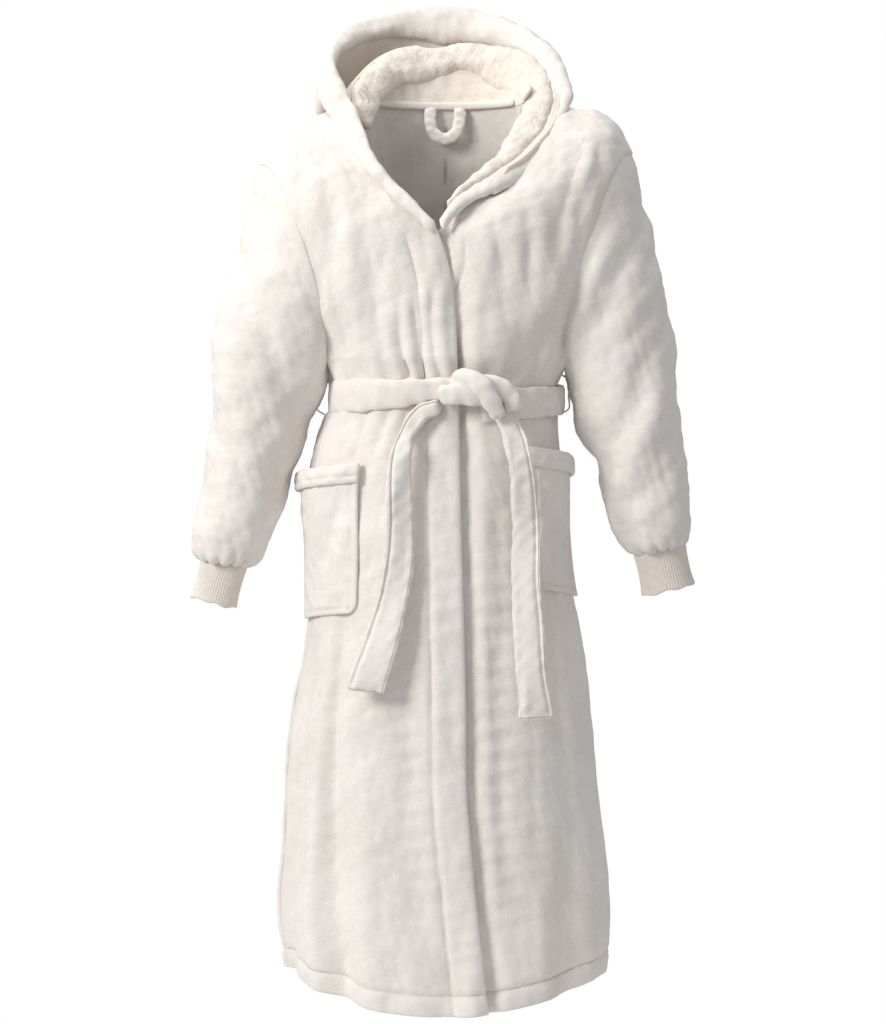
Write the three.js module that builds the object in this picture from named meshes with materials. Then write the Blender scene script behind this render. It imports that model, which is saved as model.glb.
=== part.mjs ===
// A long hooded plush bathrobe, tied at the waist, as the separate pieces it is sewn from.
// Millimetres, +Z up, the wearer faces -Y, and "right" is the wearer's right, towards -X.
// The origin is where the hanging loop is sewn to the back of the neck.
import * as THREE from "three";

// ---- Driving dimensions. Levels are given as a drop below the neck seam.
const CLOTH = 7; // thickness of the plush, pile included
const SEAM_GAP = 0.4; // air between pieces that are sewn together
const LAYER_GAP = 0.8; // air between layers that lie on each other
const ARMHOLE_GAP = 0.23 * CLOTH; // air round the armhole seam, where three pieces meet

const NECK_HALF_WIDTH = 112;
const NECK_HALF_DEPTH = 72;
const SHOULDER_HALF_WIDTH = 256;
const SHOULDER_DROP = 94;
const ARMPIT_DROP = 362;
const ARMHOLE_HALF_DEPTH = 80;

const CHEST_HALF_WIDTH = 170;
const CHEST_HALF_DEPTH = 114;
const WAIST_DROP = 407;
const WAIST_HALF_WIDTH = 152;
const WAIST_HALF_DEPTH = 102;
const HIP_DROP = 600;
const HIP_HALF_WIDTH = 181;
const HIP_HALF_DEPTH = 124;
const HEM_DROP = 1196;
const HEM_HALF_WIDTH = 225;
const HEM_HALF_DEPTH = 142;
const HEM_FRONT_DIP = 46; // how much lower the hem hangs at the front

const V_DROP = 180; // where the two front edges cross
const V_OFFSET = -5; // sideways place of that crossing
const EDGE_AT_WAIST = 18; // sideways place of the upper front edge at the waist
const EDGE_AT_HEM = 58;
const FRONT_OVERLAP = 105; // how far the lower front runs on under the upper one
const FACING_WIDTH = 45;
const FACING = 2.5; // thickness of the facing band

const SLEEVE_CLOTH = 7;
const ELBOW_DROP = 440;
const ELBOW_OUT = 324;
const WRIST_DROP = 624;
const WRIST_OUT = 300; // sideways place of the wrist's middle
const CUFF_TOP_HALF = 31;
const CUFF_END_HALF = 27;
const CUFF_LENGTH = 58;
const CUFF_CLOTH = 5;

const HOOD_CLOTH = 6;
const HOOD_REACH = 58; // how far the hood's rim stands out from the neck seam
const HOOD_BAG_DROP = 148; // how far the hood hangs down behind
const HOOD_HEIGHT = 130; // top of the rim at the back
const HOOD_SIDE_HEIGHT = 30; // top of the rim at the sides
const RIM_HALF_THICKNESS = 9;
const RIM_HALF_HEIGHT = 25;
const RIM_SIDE_HALF_HEIGHT = 12;
const LINING_HALF_THICKNESS = 14;
const LINING_REACH = 4; // how far outside the neck seam the middle of the roll lies
const LINING_HALF_HEIGHT = 28;
const LINING_SIDE_HALF_HEIGHT = 15;
const LAPEL_WIDTH = 42;
const LAPEL_CLOTH = 12;

const BELT_HEIGHT = 46;
const BELT_CLOTH = 7;
const KNOT_OFFSET = 22;
const KNOT_HALF_WIDTH = 34;
const KNOT_HALF_HEIGHT = 29;
const KNOT_HALF_DEPTH = 17;
const TAIL_CLOTH = 8;
const TAIL_WIDTH = 28; // beside the knot
const TAIL_END_WIDTH = 57;
const TAIL_SWING_RIGHT = 83; // how far to the side of the knot a tail hangs
const TAIL_SWING_LEFT = 86;
const RIGHT_TAIL_END_DROP = 812;
const RIGHT_TAIL_END_OUT = -106;
const LEFT_TAIL_END_DROP = 850;
const LEFT_TAIL_END_OUT = 124;
const BELT_LOOP_WIDTH = 9;
const BELT_LOOP_CLOTH = 2.5;

const POCKET_TOP_DROP = 498;
const POCKET_BAND_HEIGHT = 28;
const POCKET_BOTTOM_DROP = 704;
const POCKET_FRONT_ANGLE = 40; // degrees round the body from the front
const POCKET_SIDE_ANGLE = 86;
const POCKET_CLOTH = 5;
const POCKET_BULGE = 14; // how far the mouth stands open

const TAPE_HEIGHT = 9;
const TAPE_CLOTH = 2;
const LOOP_HALF_SPAN = 22;
const LOOP_DROP = 44;
const LOOP_TAPE_WIDTH = 14;
const LOOP_TAPE_THICKNESS = 5;

const FLEECE = { color: 0xeee6dc, roughness: 0.95, metalness: 0 };
const INNER_FLEECE = { color: 0xe6d9c6, roughness: 0.97, metalness: 0 };
const RIB_KNIT = { color: 0xe9ddd0, roughness: 0.9, metalness: 0 };
const TAPE = { color: 0xe8e0d6, roughness: 0.85, metalness: 0 };

// ---- Small helpers
const { lerp, smoothstep, degToRad } = THREE.MathUtils;
const vec = (x, y, z) => new THREE.Vector3(x, y, z);
const along = (count) => Array.from({ length: count + 1 }, (_, i) => i / count);
const curveThrough = (...points) => new THREE.CatmullRomCurve3(points.map((p) => vec(...p)));
const mirrored = (v) => vec(-v.x, v.y, v.z);

// Turns vertices and triangles into a named mesh whose faces point out.
function meshOf(name, vertices, triangles, finish) {
  let volume = 0;
  for (let i = 0; i < triangles.length; i += 3) {
    const [a, b, c] = [0, 1, 2].map((k) => vertices[triangles[i + k]]);
    volume += a.dot(b.clone().cross(c));
  }
  const order = volume < 0 ? triangles.slice().reverse() : triangles;
  const geometry = new THREE.BufferGeometry().setFromPoints(vertices);
  geometry.setIndex(order);
  geometry.computeVertexNormals();
  const mesh = new THREE.Mesh(geometry, new THREE.MeshStandardMaterial(finish));
  mesh.name = name;
  return mesh;
}

// The quads between two rows of vertex numbers.
function strip(rowA, rowB, wraps) {
  const faces = [];
  const last = wraps ? rowA.length : rowA.length - 1;
  for (let i = 0; i < last; i += 1) {
    const j = (i + 1) % rowA.length;
    faces.push(rowA[i], rowA[j], rowB[j], rowA[i], rowB[j], rowB[i]);
  }
  return faces;
}

// A sheet of cloth of even thickness over rows of { at, normal }. With wraps it closes into a tube.
function clothSolid(name, rows, thickness, finish, wraps = false) {
  const vertices = [];
  const face = (side) =>
    rows.map((row) =>
      row.map(({ at, normal }) => {
        vertices.push(at.clone().addScaledVector(normal, (side * thickness) / 2));
        return vertices.length - 1;
      }),
    );
  const outer = face(1);
  const inner = face(-1);
  const triangles = [];
  for (let r = 1; r < rows.length; r += 1) {
    triangles.push(...strip(outer[r - 1], outer[r], wraps));
    triangles.push(...strip(inner[r], inner[r - 1], wraps));
  }
  triangles.push(...strip(inner[0], outer[0], wraps));
  triangles.push(...strip(outer.at(-1), inner.at(-1), wraps));
  if (!wraps) {
    const column = (grid, c) => grid.map((row) => row.at(c));
    triangles.push(...strip(column(outer, 0), column(inner, 0), false));
    triangles.push(...strip(column(inner, -1), column(outer, -1), false));
  }
  return meshOf(name, vertices, triangles, finish);
}

// A solid through closed rings of points, with a flat cap at each end.
function loftSolid(name, rings, finish) {
  const vertices = [];
  const numbers = rings.map((ring) =>
    ring.map((p) => {
      vertices.push(p);
      return vertices.length - 1;
    }),
  );
  const triangles = [];
  for (let r = 1; r < rings.length; r += 1) {
    triangles.push(...strip(numbers[r - 1], numbers[r], true));
  }
  const cap = (ring) => {
    for (let i = 1; i < ring.length - 1; i += 1) triangles.push(ring[0], ring[i], ring[i + 1]);
  };
  cap(numbers[0].slice().reverse());
  cap(numbers.at(-1));
  return meshOf(name, vertices, triangles, finish);
}

// An oval ring about a centre, spanned by two half axes.
function oval(centre, halfA, halfB, sides = 12) {
  return along(sides).slice(0, -1).map((t) => {
    const angle = 2 * Math.PI * t;
    return centre.clone().addScaledVector(halfA, Math.cos(angle)).addScaledVector(halfB, Math.sin(angle));
  });
}

// A flat strap's section: a rectangle with its corners taken off.
function strapSection(centre, halfWidth, halfThickness) {
  const corner = 0.7;
  const half = [[-1, -corner], [-1, corner], [-0.9, 1], [0.9, 1]];
  const spots = [...half, ...half.map(([a, b]) => [-a, -b])];
  const place = ([a, b]) => centre.clone().addScaledVector(halfWidth, a).addScaledVector(halfThickness, b);
  return spots.map(place);
}

// ---- The body's shape
const BELT_SEAT = BELT_HEIGHT / 2 + 8; // half height of the band of cloth that the belt draws in
const BELT_TOP_DROP = WAIST_DROP - BELT_SEAT;
const BELT_BOTTOM_DROP = WAIST_DROP + BELT_SEAT;
const LEVELS = [
  { drop: ARMPIT_DROP, width: CHEST_HALF_WIDTH, depth: CHEST_HALF_DEPTH },
  { drop: BELT_TOP_DROP, width: WAIST_HALF_WIDTH, depth: WAIST_HALF_DEPTH },
  { drop: BELT_BOTTOM_DROP, width: WAIST_HALF_WIDTH, depth: WAIST_HALF_DEPTH },
  { drop: HIP_DROP, width: HIP_HALF_WIDTH, depth: HIP_HALF_DEPTH },
  { drop: HEM_DROP, width: HEM_HALF_WIDTH, depth: HEM_HALF_DEPTH },
];

// Half width and half depth of the body at a height below the armpit.
function bodySize(z) {
  const next = Math.max(1, LEVELS.findIndex((level) => level.drop >= -z));
  const [a, b] = -z > LEVELS.at(-1).drop ? LEVELS.slice(-2) : [LEVELS[next - 1], LEVELS[next]];
  const part = (-z - a.drop) / (b.drop - a.drop);
  const t = b.drop === HIP_DROP ? smoothstep(part, 0, 1) : Math.max(part, 0);
  return { width: lerp(a.width, b.width, t), depth: lerp(a.depth, b.depth, t) };
}

// A point on the body: angle 0 is the front, 90 degrees the left side, 180 the back.
function bodyPoint(angle, z, lift = 0) {
  const { width, depth } = bodySize(z);
  return vec((width + lift) * Math.sin(angle), -(depth + lift) * Math.cos(angle), z);
}

function bodyNormal(angle, z) {
  const { width, depth } = bodySize(z);
  return vec(Math.sin(angle) / width, -Math.cos(angle) / depth, 0).normalize();
}

// A piece that lies on the body between two angles and two heights, lifted off it by some amount.
function bodyRows(angles, heights, lift) {
  return heights.map((z, row) =>
    angles.map((angle, column) => {
      const normal = bodyNormal(angle, z);
      const off = lift(column / (angles.length - 1), row / (heights.length - 1));
      return { at: bodyPoint(angle, z).addScaledVector(normal, off), normal };
    }),
  );
}

const hemZ = (angle) => -HEM_DROP - HEM_FRONT_DIP * Math.max(Math.cos(angle), 0) ** 2;

// ---- Armhole: an oval loop through the shoulder point and the armpit, on the right side
const SHOULDER = vec(-SHOULDER_HALF_WIDTH, 0, -SHOULDER_DROP);
const ARMPIT = vec(-CHEST_HALF_WIDTH, 0, -ARMPIT_DROP);
const ARMHOLE_CENTRE = SHOULDER.clone().add(ARMPIT).multiplyScalar(0.5);
const ARMHOLE_RISE = SHOULDER.clone().sub(ARMHOLE_CENTRE);
const ARMHOLE_OUT = vec(0, 1, 0).cross(ARMHOLE_RISE).normalize().multiplyScalar(-1);

// A point of the armhole, from the shoulder (0) over the front (or back, side 1) to the armpit (1).
function armholePoint(t, side, away) {
  const angle = Math.PI * t;
  return ARMHOLE_CENTRE.clone()
    .addScaledVector(ARMHOLE_RISE, Math.cos(angle))
    .add(vec(0, side * ARMHOLE_HALF_DEPTH * Math.sin(angle), 0))
    .addScaledVector(ARMHOLE_OUT, away);
}

// A surface between four edge curves that meet at their corners.
function coons(top, bottom, left, right, u, v) {
  const blend = (a, b, t) => a.clone().lerp(b, t);
  const corners = blend(blend(top(0), top(1), u), blend(bottom(0), bottom(1), u), v);
  return blend(top(u), bottom(u), v).add(blend(left(v), right(v), u)).sub(corners);
}

const NECK_SIDE = vec(-NECK_HALF_WIDTH, 0, 0);
const inFromArmhole = (point, share) => point.addScaledVector(ARMHOLE_OUT, (-share * SEAM_GAP) / 2);
const shoulderLine = (t) => inFromArmhole(NECK_SIDE.clone().lerp(SHOULDER, t), t);

// Sideways place of the upper (right) front edge below the crossing.
function frontEdgeX(z) {
  if (-z < WAIST_DROP) return lerp(V_OFFSET, EDGE_AT_WAIST, smoothstep(-z, V_DROP, WAIST_DROP));
  return lerp(EDGE_AT_WAIST, EDGE_AT_HEM, (-z - WAIST_DROP) / (HEM_DROP - WAIST_DROP));
}

// The neckline's own edge runs from the neck's side down to the crossing and on to the armpit level.
const crossing = vec(V_OFFSET, -0.93 * CHEST_HALF_DEPTH, -V_DROP);
const neckline = curveThrough(
  [-NECK_HALF_WIDTH, 0, 0],
  [-0.93 * NECK_HALF_WIDTH, -0.42 * CHEST_HALF_DEPTH, -0.33 * V_DROP],
  [-0.58 * NECK_HALF_WIDTH, -0.74 * CHEST_HALF_DEPTH, -0.65 * V_DROP],
  crossing.toArray(),
);
const CROSSING_SHARE = 0.6; // how far down the upper part the crossing lies

// A front panel on the right side. The edge below the crossing is drawn back by "tuck".
function frontPanel(u, h, tuck) {
  const angleOf = (z) => Math.asin((frontEdgeX(z) - tuck(z)) / bodySize(z).width);
  const side = -Math.PI / 2;
  if (h > 1) {
    const edge = angleOf(lerp(-ARMPIT_DROP, hemZ(0), h - 1));
    const angle = lerp(edge, side, u);
    return bodyPoint(angle, lerp(-ARMPIT_DROP, hemZ(angle), h - 1));
  }
  const edgeAtArmpit = angleOf(-ARMPIT_DROP);
  const frontEdge = (v) => {
    if (v <= CROSSING_SHARE) return neckline.getPoint(v / CROSSING_SHARE);
    const t = (v - CROSSING_SHARE) / (1 - CROSSING_SHARE);
    const z = lerp(-V_DROP, -ARMPIT_DROP, t);
    return vec(frontEdgeX(z) - tuck(z), lerp(crossing.y, bodyPoint(edgeAtArmpit, -ARMPIT_DROP).y, t), z);
  };
  const armpitRow = (t) => inFromArmhole(bodyPoint(lerp(edgeAtArmpit, side, t), -ARMPIT_DROP), t);
  const armhole = (v) => armholePoint(v, -1, -SEAM_GAP / 2);
  return coons(shoulderLine, armpitRow, frontEdge, armhole, u, h);
}

// The back panel's right half: u runs from the middle of the back to the side.
const NECK_SHARE = 0.42; // part of the top edge that is neckline
function backPanel(u, h) {
  const angle = lerp(Math.PI, 1.5 * Math.PI, u);
  if (h > 1) return bodyPoint(angle, lerp(-ARMPIT_DROP, hemZ(angle), h - 1));
  const top = (t) => {
    if (t > NECK_SHARE) return shoulderLine((t - NECK_SHARE) / (1 - NECK_SHARE));
    const turn = (Math.PI / 2) * (t / NECK_SHARE);
    return vec(-NECK_HALF_WIDTH * Math.sin(turn), NECK_HALF_DEPTH * Math.cos(turn), 0);
  };
  const armpitRow = (t) => inFromArmhole(bodyPoint(lerp(Math.PI, 1.5 * Math.PI, t), -ARMPIT_DROP), t);
  const spine = (v) => vec(0, backLine(-v * ARMPIT_DROP), -v * ARMPIT_DROP);
  const armhole = (v) => armholePoint(v, 1, -SEAM_GAP / 2);
  return coons(top, armpitRow, spine, armhole, u, h);
}

// How far back the middle of the back stands at a height between the neck and the armpit.
function backLine(z) {
  return lerp(NECK_HALF_DEPTH, CHEST_HALF_DEPTH, Math.sin((Math.PI / 2) * Math.min(-z / ARMPIT_DROP, 1)));
}

// Samples a surface over u and h, with each point's outward normal.
function sampled(surface, us, hs) {
  const step = 1e-3;
  return hs.map((h) =>
    us.map((u) => {
      const at = surface(u, h);
      const [u0, u1] = [Math.max(u - step, 0), Math.min(u + step, 1)];
      const [h0, h1] = h === 1 ? [1 - step, 1] : [Math.max(h - step, 0), Math.min(h + step, 2)];
      const across = surface(u1, h).sub(surface(u0, h));
      const down = surface(u, h1).sub(surface(u, h0));
      const normal = across.cross(down).normalize();
      const inside = vec(0, 0, Math.min(at.z, -ARMPIT_DROP));
      if (normal.dot(at.clone().sub(inside)) < 0) normal.negate();
      return { at, normal };
    }),
  );
}

// Lays a node's normal into the plane of a seam.
function intoPlane(node, seam) {
  node.normal.addScaledVector(seam, -node.normal.dot(seam)).normalize();
}

// Trims a panel's rows to its seams: the shoulder and side seams (y = 0) and the armhole.
function trimSeams(rows, us, hs, side, topStart) {
  rows.forEach((row, r) =>
    row.forEach((node, c) => {
      const onShoulder = hs[r] === 0 && us[c] >= topStart;
      const onSide = us[c] === 1 && hs[r] >= 1;
      if (us[c] === 1 && hs[r] <= 1) intoPlane(node, ARMHOLE_OUT);
      if (onShoulder || onSide) {
        node.at.y = (side * SEAM_GAP) / 2;
        intoPlane(node, vec(0, 1, 0));
      }
      if (side * node.at.y < SEAM_GAP / 2) node.at.y = (side * SEAM_GAP) / 2;
    }),
  );
  return rows;
}

const lifted = (rows, off) =>
  rows.map((row) => row.map(({ at, normal }) => ({ at: at.clone().addScaledVector(normal, off), normal })));
const flipped = (rows) =>
  rows.map((row) => row.map(({ at, normal }) => ({ at: mirrored(at), normal: mirrored(normal) })));

// Rows of the panels: 0 at the shoulder, 1 at the armpit, 2 at the hem, with rows where the belt sits.
const PANEL_COLUMNS = 12;
const spread = (from, to, count) => along(count).slice(1).map((t) => lerp(from, to, t));
const lowerDrops = [BELT_TOP_DROP, ...spread(BELT_TOP_DROP, BELT_BOTTOM_DROP, 1)];
lowerDrops.push(...spread(BELT_BOTTOM_DROP, HIP_DROP, 4), ...spread(HIP_DROP, HEM_DROP, 7));
const levelOf = (drop) => 1 + (drop - ARMPIT_DROP) / (HEM_DROP - ARMPIT_DROP);
const PANEL_HEIGHTS = [...along(10), ...lowerDrops.map(levelOf)];

// The place at a distance along a row of a panel, measured from its front edge.
function atDistance(row, distance) {
  let left = distance;
  for (let i = 1; i < row.length; i += 1) {
    const [a, b] = [row[i - 1], row[i]];
    const length = a.at.distanceTo(b.at);
    if (left <= length) {
      const t = left / length;
      return { at: a.at.clone().lerp(b.at, t), normal: a.normal.clone().lerp(b.normal, t).normalize() };
    }
    left -= length;
  }
  return row.at(-1);
}

// ---- Panels
function rightFrontRows() {
  const us = along(PANEL_COLUMNS);
  return trimSeams(sampled((u, h) => frontPanel(u, h, () => 0), us, PANEL_HEIGHTS), us, PANEL_HEIGHTS, -1, 0);
}

// The left front is cut as the mirror of the right one, then runs on under it.
const UNDERLAP_SINK = CLOTH + FACING + 3 * LAYER_GAP + 7;
const underlap = (z) => 2 * frontEdgeX(z) - 2 * V_OFFSET * (1 - smoothstep(-z, V_DROP, WAIST_DROP));
function leftFrontRows() {
  const us = along(PANEL_COLUMNS);
  const tuck = (z) => underlap(z) - FRONT_OVERLAP * smoothstep(-z, V_DROP, ARMPIT_DROP);
  const raw = sampled((u, h) => frontPanel(u, h, tuck), us, PANEL_HEIGHTS);
  const rows = trimSeams(raw, us, PANEL_HEIGHTS, -1, 0);
  const laid = flipped(rows);
  const fade = 40; // width over which the lower front dives under the upper one
  laid.flat().forEach(({ at }) => {
    const past = frontEdgeX(Math.min(at.z, -V_DROP)) + fade + 5 - at.x;
    const below = smoothstep(-at.z, 0.55 * V_DROP, V_DROP);
    at.y += UNDERLAP_SINK * below * smoothstep(past, 0, fade);
  });
  return laid;
}

function backRows() {
  const us = along(PANEL_COLUMNS);
  const half = trimSeams(sampled(backPanel, us, PANEL_HEIGHTS), us, PANEL_HEIGHTS, 1, NECK_SHARE);
  half.forEach((row) => intoPlane(row[0], vec(1, 0, 0)));
  const other = flipped(half);
  return half.map((row, r) => [...row.slice().reverse(), ...other[r].slice(1)]);
}

// The facing band is sewn behind a front's edge, from the crossing down to the hem.
function facing(name, rows) {
  const inside = -(CLOTH / 2 + 1.5 * LAYER_GAP + FACING / 2);
  const start = PANEL_HEIGHTS.findIndex((h) => h >= CROSSING_SHARE + 0.1);
  const steps = spread(0, FACING_WIDTH, 3);
  const band = rows.slice(start).map((row) => [row[0], ...steps.map((far) => atDistance(row, far))]);
  return clothSolid(name, lifted(band, inside), FACING, FLEECE);
}

// ---- Sleeves and cuffs, on the right side
const WRIST = vec(-WRIST_OUT, -18, -WRIST_DROP);
const WRIST_DIRECTION = vec(-0.22, -0.04, -1).normalize();
const WRIST_ACROSS = vec(-0.98, 0, 0.2).normalize();

function sleeveRings() {
  const outer = curveThrough(
    SHOULDER.toArray(),
    [-ELBOW_OUT + 22, 0, lerp(-SHOULDER_DROP, -ELBOW_DROP, 0.52)],
    [-ELBOW_OUT, -4, -ELBOW_DROP],
    [-ELBOW_OUT - 13, -12, -WRIST_DROP + 78],
    [-WRIST_OUT - 39, -18, -WRIST_DROP + 26],
    WRIST.clone().addScaledVector(WRIST_ACROSS, CUFF_TOP_HALF).toArray(),
  );
  const inner = curveThrough(
    ARMPIT.toArray(),
    [-CHEST_HALF_WIDTH - 18, 0, -ARMPIT_DROP - 52],
    [-CHEST_HALF_WIDTH - 30, -4, lerp(-ARMPIT_DROP, -WRIST_DROP, 0.5)],
    [-CHEST_HALF_WIDTH - 46, -12, -WRIST_DROP + 70],
    [-WRIST_OUT + 58, -18, -WRIST_DROP + 18],
    WRIST.clone().addScaledVector(WRIST_ACROSS, -CUFF_TOP_HALF).toArray(),
  );
  const halfDepth = curveThrough(
    [ARMHOLE_HALF_DEPTH, 0, 0],
    [0.95 * ARMHOLE_HALF_DEPTH, 1, 0],
    [0.84 * ARMHOLE_HALF_DEPTH, 2, 0],
    [0.76 * ARMHOLE_HALF_DEPTH, 3, 0],
    [0.66 * ARMHOLE_HALF_DEPTH, 4, 0],
    [CUFF_TOP_HALF, 5, 0],
  );
  return along(15).map((t) => {
    const [out, into] = [outer.getPoint(t), inner.getPoint(t)];
    const centre = out.clone().add(into).multiplyScalar(0.5);
    return { centre, half: out.sub(centre), depth: halfDepth.getPoint(t).x };
  });
}

// The cloth of a tube of oval rings, with normals taken across each ring.
function tubeRows(rings, sides) {
  return rings.map(({ centre, half, depth }) =>
    along(sides).slice(0, -1).map((t) => {
      const angle = 2 * Math.PI * t;
      const reach = half.length();
      const at = centre.clone().addScaledVector(half, Math.cos(angle));
      at.y -= depth * Math.sin(angle);
      const normal = half.clone().multiplyScalar(Math.cos(angle) / reach ** 2);
      normal.add(vec(0, -Math.sin(angle) / depth, 0)).normalize();
      return { at, normal };
    }),
  );
}

function sleeve() {
  const rings = sleeveRings();
  rings[0].centre.addScaledVector(ARMHOLE_OUT, ARMHOLE_GAP - SEAM_GAP / 2);
  return tubeRows(rings, 24);
}

function cuff() {
  const rings = along(4).map((t) => ({
    centre: WRIST.clone().addScaledVector(WRIST_DIRECTION, SEAM_GAP + t * CUFF_LENGTH),
    half: WRIST_ACROSS.clone().multiplyScalar(lerp(CUFF_TOP_HALF, CUFF_END_HALF, t)),
    depth: lerp(CUFF_TOP_HALF, CUFF_END_HALF, t),
  }));
  return tubeRows(rings, 20);
}

// ---- Hood, lying down behind the neck. Turn 0 is the right side, a quarter turn is the back.
const SHOULDER_SLOPE = SHOULDER_DROP / (SHOULDER_HALF_WIDTH - NECK_HALF_WIDTH);
const QUARTER = Math.PI / 2;
const hoodTurns = along(12).map((t) => t * QUARTER);

function hoodPoint(turn, reach, z) {
  const inset = turn === QUARTER ? SEAM_GAP / 2 : 0;
  const x = -(NECK_HALF_WIDTH + reach) * Math.cos(turn) - inset;
  return vec(x, (NECK_HALF_DEPTH + reach) * Math.sin(turn), z);
}

const rimHalfHeight = (turn) => lerp(RIM_SIDE_HALF_HEIGHT, RIM_HALF_HEIGHT, Math.sin(turn));
const rimTop = (turn) => lerp(HOOD_SIDE_HEIGHT, HOOD_HEIGHT, Math.sin(turn));

// The hood's wall in section, as [reach, z] from the neck seam, under the bag and up to the rim.
function hoodWall(turn) {
  const overShoulder = (reach, rise) => [reach, -reach * SHOULDER_SLOPE + rise];
  const clear = (CLOTH + HOOD_CLOTH) / 2 + LAYER_GAP;
  const behindBack = (z, air) => [backLine(z) - NECK_HALF_DEPTH + clear + air, z];
  const rimBottom = rimTop(turn) - 2 * rimHalfHeight(turn) - SEAM_GAP;
  const bag = (share) => -share * HOOD_BAG_DROP;
  const side = [
    overShoulder(12, clear + 1),
    overShoulder(0.36 * HOOD_REACH, clear + 2),
    overShoulder(0.52 * HOOD_REACH, clear + 3),
    overShoulder(0.7 * HOOD_REACH, clear + 5),
    overShoulder(0.86 * HOOD_REACH, clear + 12),
    [0.97 * HOOD_REACH, -4],
    [HOOD_REACH, rimBottom],
  ];
  const back = [
    behindBack(-5, 1),
    behindBack(bag(0.4), 5),
    behindBack(bag(0.85), 9),
    [0.86 * HOOD_REACH, bag(1)],
    [1.25 * HOOD_REACH, bag(0.72)],
    [1.38 * HOOD_REACH, 0],
    [HOOD_REACH, rimBottom],
  ];
  const share = Math.sin(turn) ** 3;
  const points = side.map(([r, z], i) => [lerp(r, back[i][0], share), 0, lerp(z, back[i][1], share)]);
  points[points.length - 1][2] = rimBottom;
  return curveThrough(...points);
}

function hoodHalf() {
  const rows = hoodTurns.map((turn) => {
    const wall = hoodWall(turn);
    return along(14).map((t) => {
      const p = wall.getPoint(t);
      const tangent = wall.getTangent(t);
      const outward = vec(-Math.cos(turn), Math.sin(turn), 0);
      const normal = outward.multiplyScalar(tangent.z).add(vec(0, 0, -tangent.x)).normalize();
      return { at: hoodPoint(turn, p.x, p.z), normal };
    });
  });
  return rows;
}

function hoodRim() {
  return hoodTurns.map((turn) => {
    const half = rimHalfHeight(turn);
    const centre = hoodPoint(turn, HOOD_REACH, rimTop(turn) - half);
    const outward = vec(-Math.cos(turn), Math.sin(turn), 0);
    return oval(centre, outward.multiplyScalar(RIM_HALF_THICKNESS), vec(0, 0, half), 12);
  });
}

function hoodLining() {
  return hoodTurns.map((turn) => {
    const half = lerp(LINING_SIDE_HALF_HEIGHT, LINING_HALF_HEIGHT, Math.sin(turn));
    const seat = lerp(CLOTH + HOOD_CLOTH, SEAM_GAP + 0.06 * CLOTH, Math.sin(turn) ** 2);
    const centre = hoodPoint(turn, LINING_REACH, seat + half);
    const outward = vec(-Math.cos(turn), Math.sin(turn), 0);
    return oval(centre, outward.multiplyScalar(LINING_HALF_THICKNESS), vec(0, 0, half), 12);
  });
}

// The hood's front edge, folded out over the neckline and running down to the crossing.
function lapelRows(rows) {
  const off = CLOTH / 2 + 1.5 * LAYER_GAP + LAPEL_CLOTH / 2;
  const end = PANEL_HEIGHTS.findIndex((h) => h >= CROSSING_SHARE);
  const kept = rows.slice(1, end).map((row, r, all) => {
    const width = LAPEL_WIDTH * (1 - 0.55 * (r / (all.length - 1)) ** 2);
    return [row[0], ...spread(0, width, 4).map((far) => atDistance(row, far))];
  });
  return lifted(kept, off);
}

// ---- Neck tape and hanging loop
function neckTape() {
  const inset = CLOTH / 2 + LAYER_GAP + TAPE_CLOTH / 2;
  const turns = along(16).map((t) => lerp(0.26 * Math.PI, 0.74 * Math.PI, t));
  return [-TAPE_HEIGHT - 2, -2].map((z) =>
    turns.map((turn) => ({
      at: vec(-(NECK_HALF_WIDTH - inset) * Math.cos(turn), (NECK_HALF_DEPTH - inset) * Math.sin(turn), z),
      normal: vec(-Math.cos(turn) / NECK_HALF_WIDTH, Math.sin(turn) / NECK_HALF_DEPTH, 0).normalize(),
    })),
  );
}

const LOOP_REACH = (LOOP_HALF_SPAN + LOOP_TAPE_WIDTH / 2) / (NECK_HALF_WIDTH - CLOTH);
const TAPE_BOW = NECK_HALF_DEPTH * (1 - Math.sqrt(1 - LOOP_REACH ** 2)); // the tape's bend behind the loop
const TAPE_FACE = NECK_HALF_DEPTH - CLOTH / 2 - LAYER_GAP - TAPE_CLOTH - TAPE_BOW;
const LOOP_Y = TAPE_FACE - SEAM_GAP - LOOP_TAPE_THICKNESS / 2;

function hangingLoop() {
  const path = curveThrough(
    [-LOOP_HALF_SPAN, LOOP_Y, -2],
    [-0.86 * LOOP_HALF_SPAN, LOOP_Y, -0.45 * LOOP_DROP],
    [-0.5 * LOOP_HALF_SPAN, LOOP_Y, -0.86 * LOOP_DROP],
    [0, LOOP_Y, -LOOP_DROP],
    [0.5 * LOOP_HALF_SPAN, LOOP_Y, -0.86 * LOOP_DROP],
    [0.86 * LOOP_HALF_SPAN, LOOP_Y, -0.45 * LOOP_DROP],
    [LOOP_HALF_SPAN, LOOP_Y, -2],
  );
  return along(28).map((t) => {
    const tangent = path.getTangent(t);
    const across = tangent.clone().cross(vec(0, 1, 0)).multiplyScalar(LOOP_TAPE_WIDTH / 2);
    return strapSection(path.getPoint(t), across, vec(0, LOOP_TAPE_THICKNESS / 2, 0));
  });
}

// ---- Belt
const BELT_OFF = CLOTH / 2 + LAYER_GAP + BELT_CLOTH / 2;
const beltHeights = [0.5, 0, -0.5].map((t) => -WAIST_DROP + t * BELT_HEIGHT);
const BELT_REACH = BELT_OFF + BELT_CLOTH / 2;
const KNOT_TURN = Math.asin(KNOT_OFFSET / (WAIST_HALF_WIDTH + BELT_REACH));
const BELT_FRONT = (WAIST_HALF_DEPTH + BELT_REACH) * Math.cos(KNOT_TURN);
const KNOT_Y = -(BELT_FRONT + LAYER_GAP + KNOT_HALF_DEPTH);
const KNOT = vec(KNOT_OFFSET, KNOT_Y, -WAIST_DROP);

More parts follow.
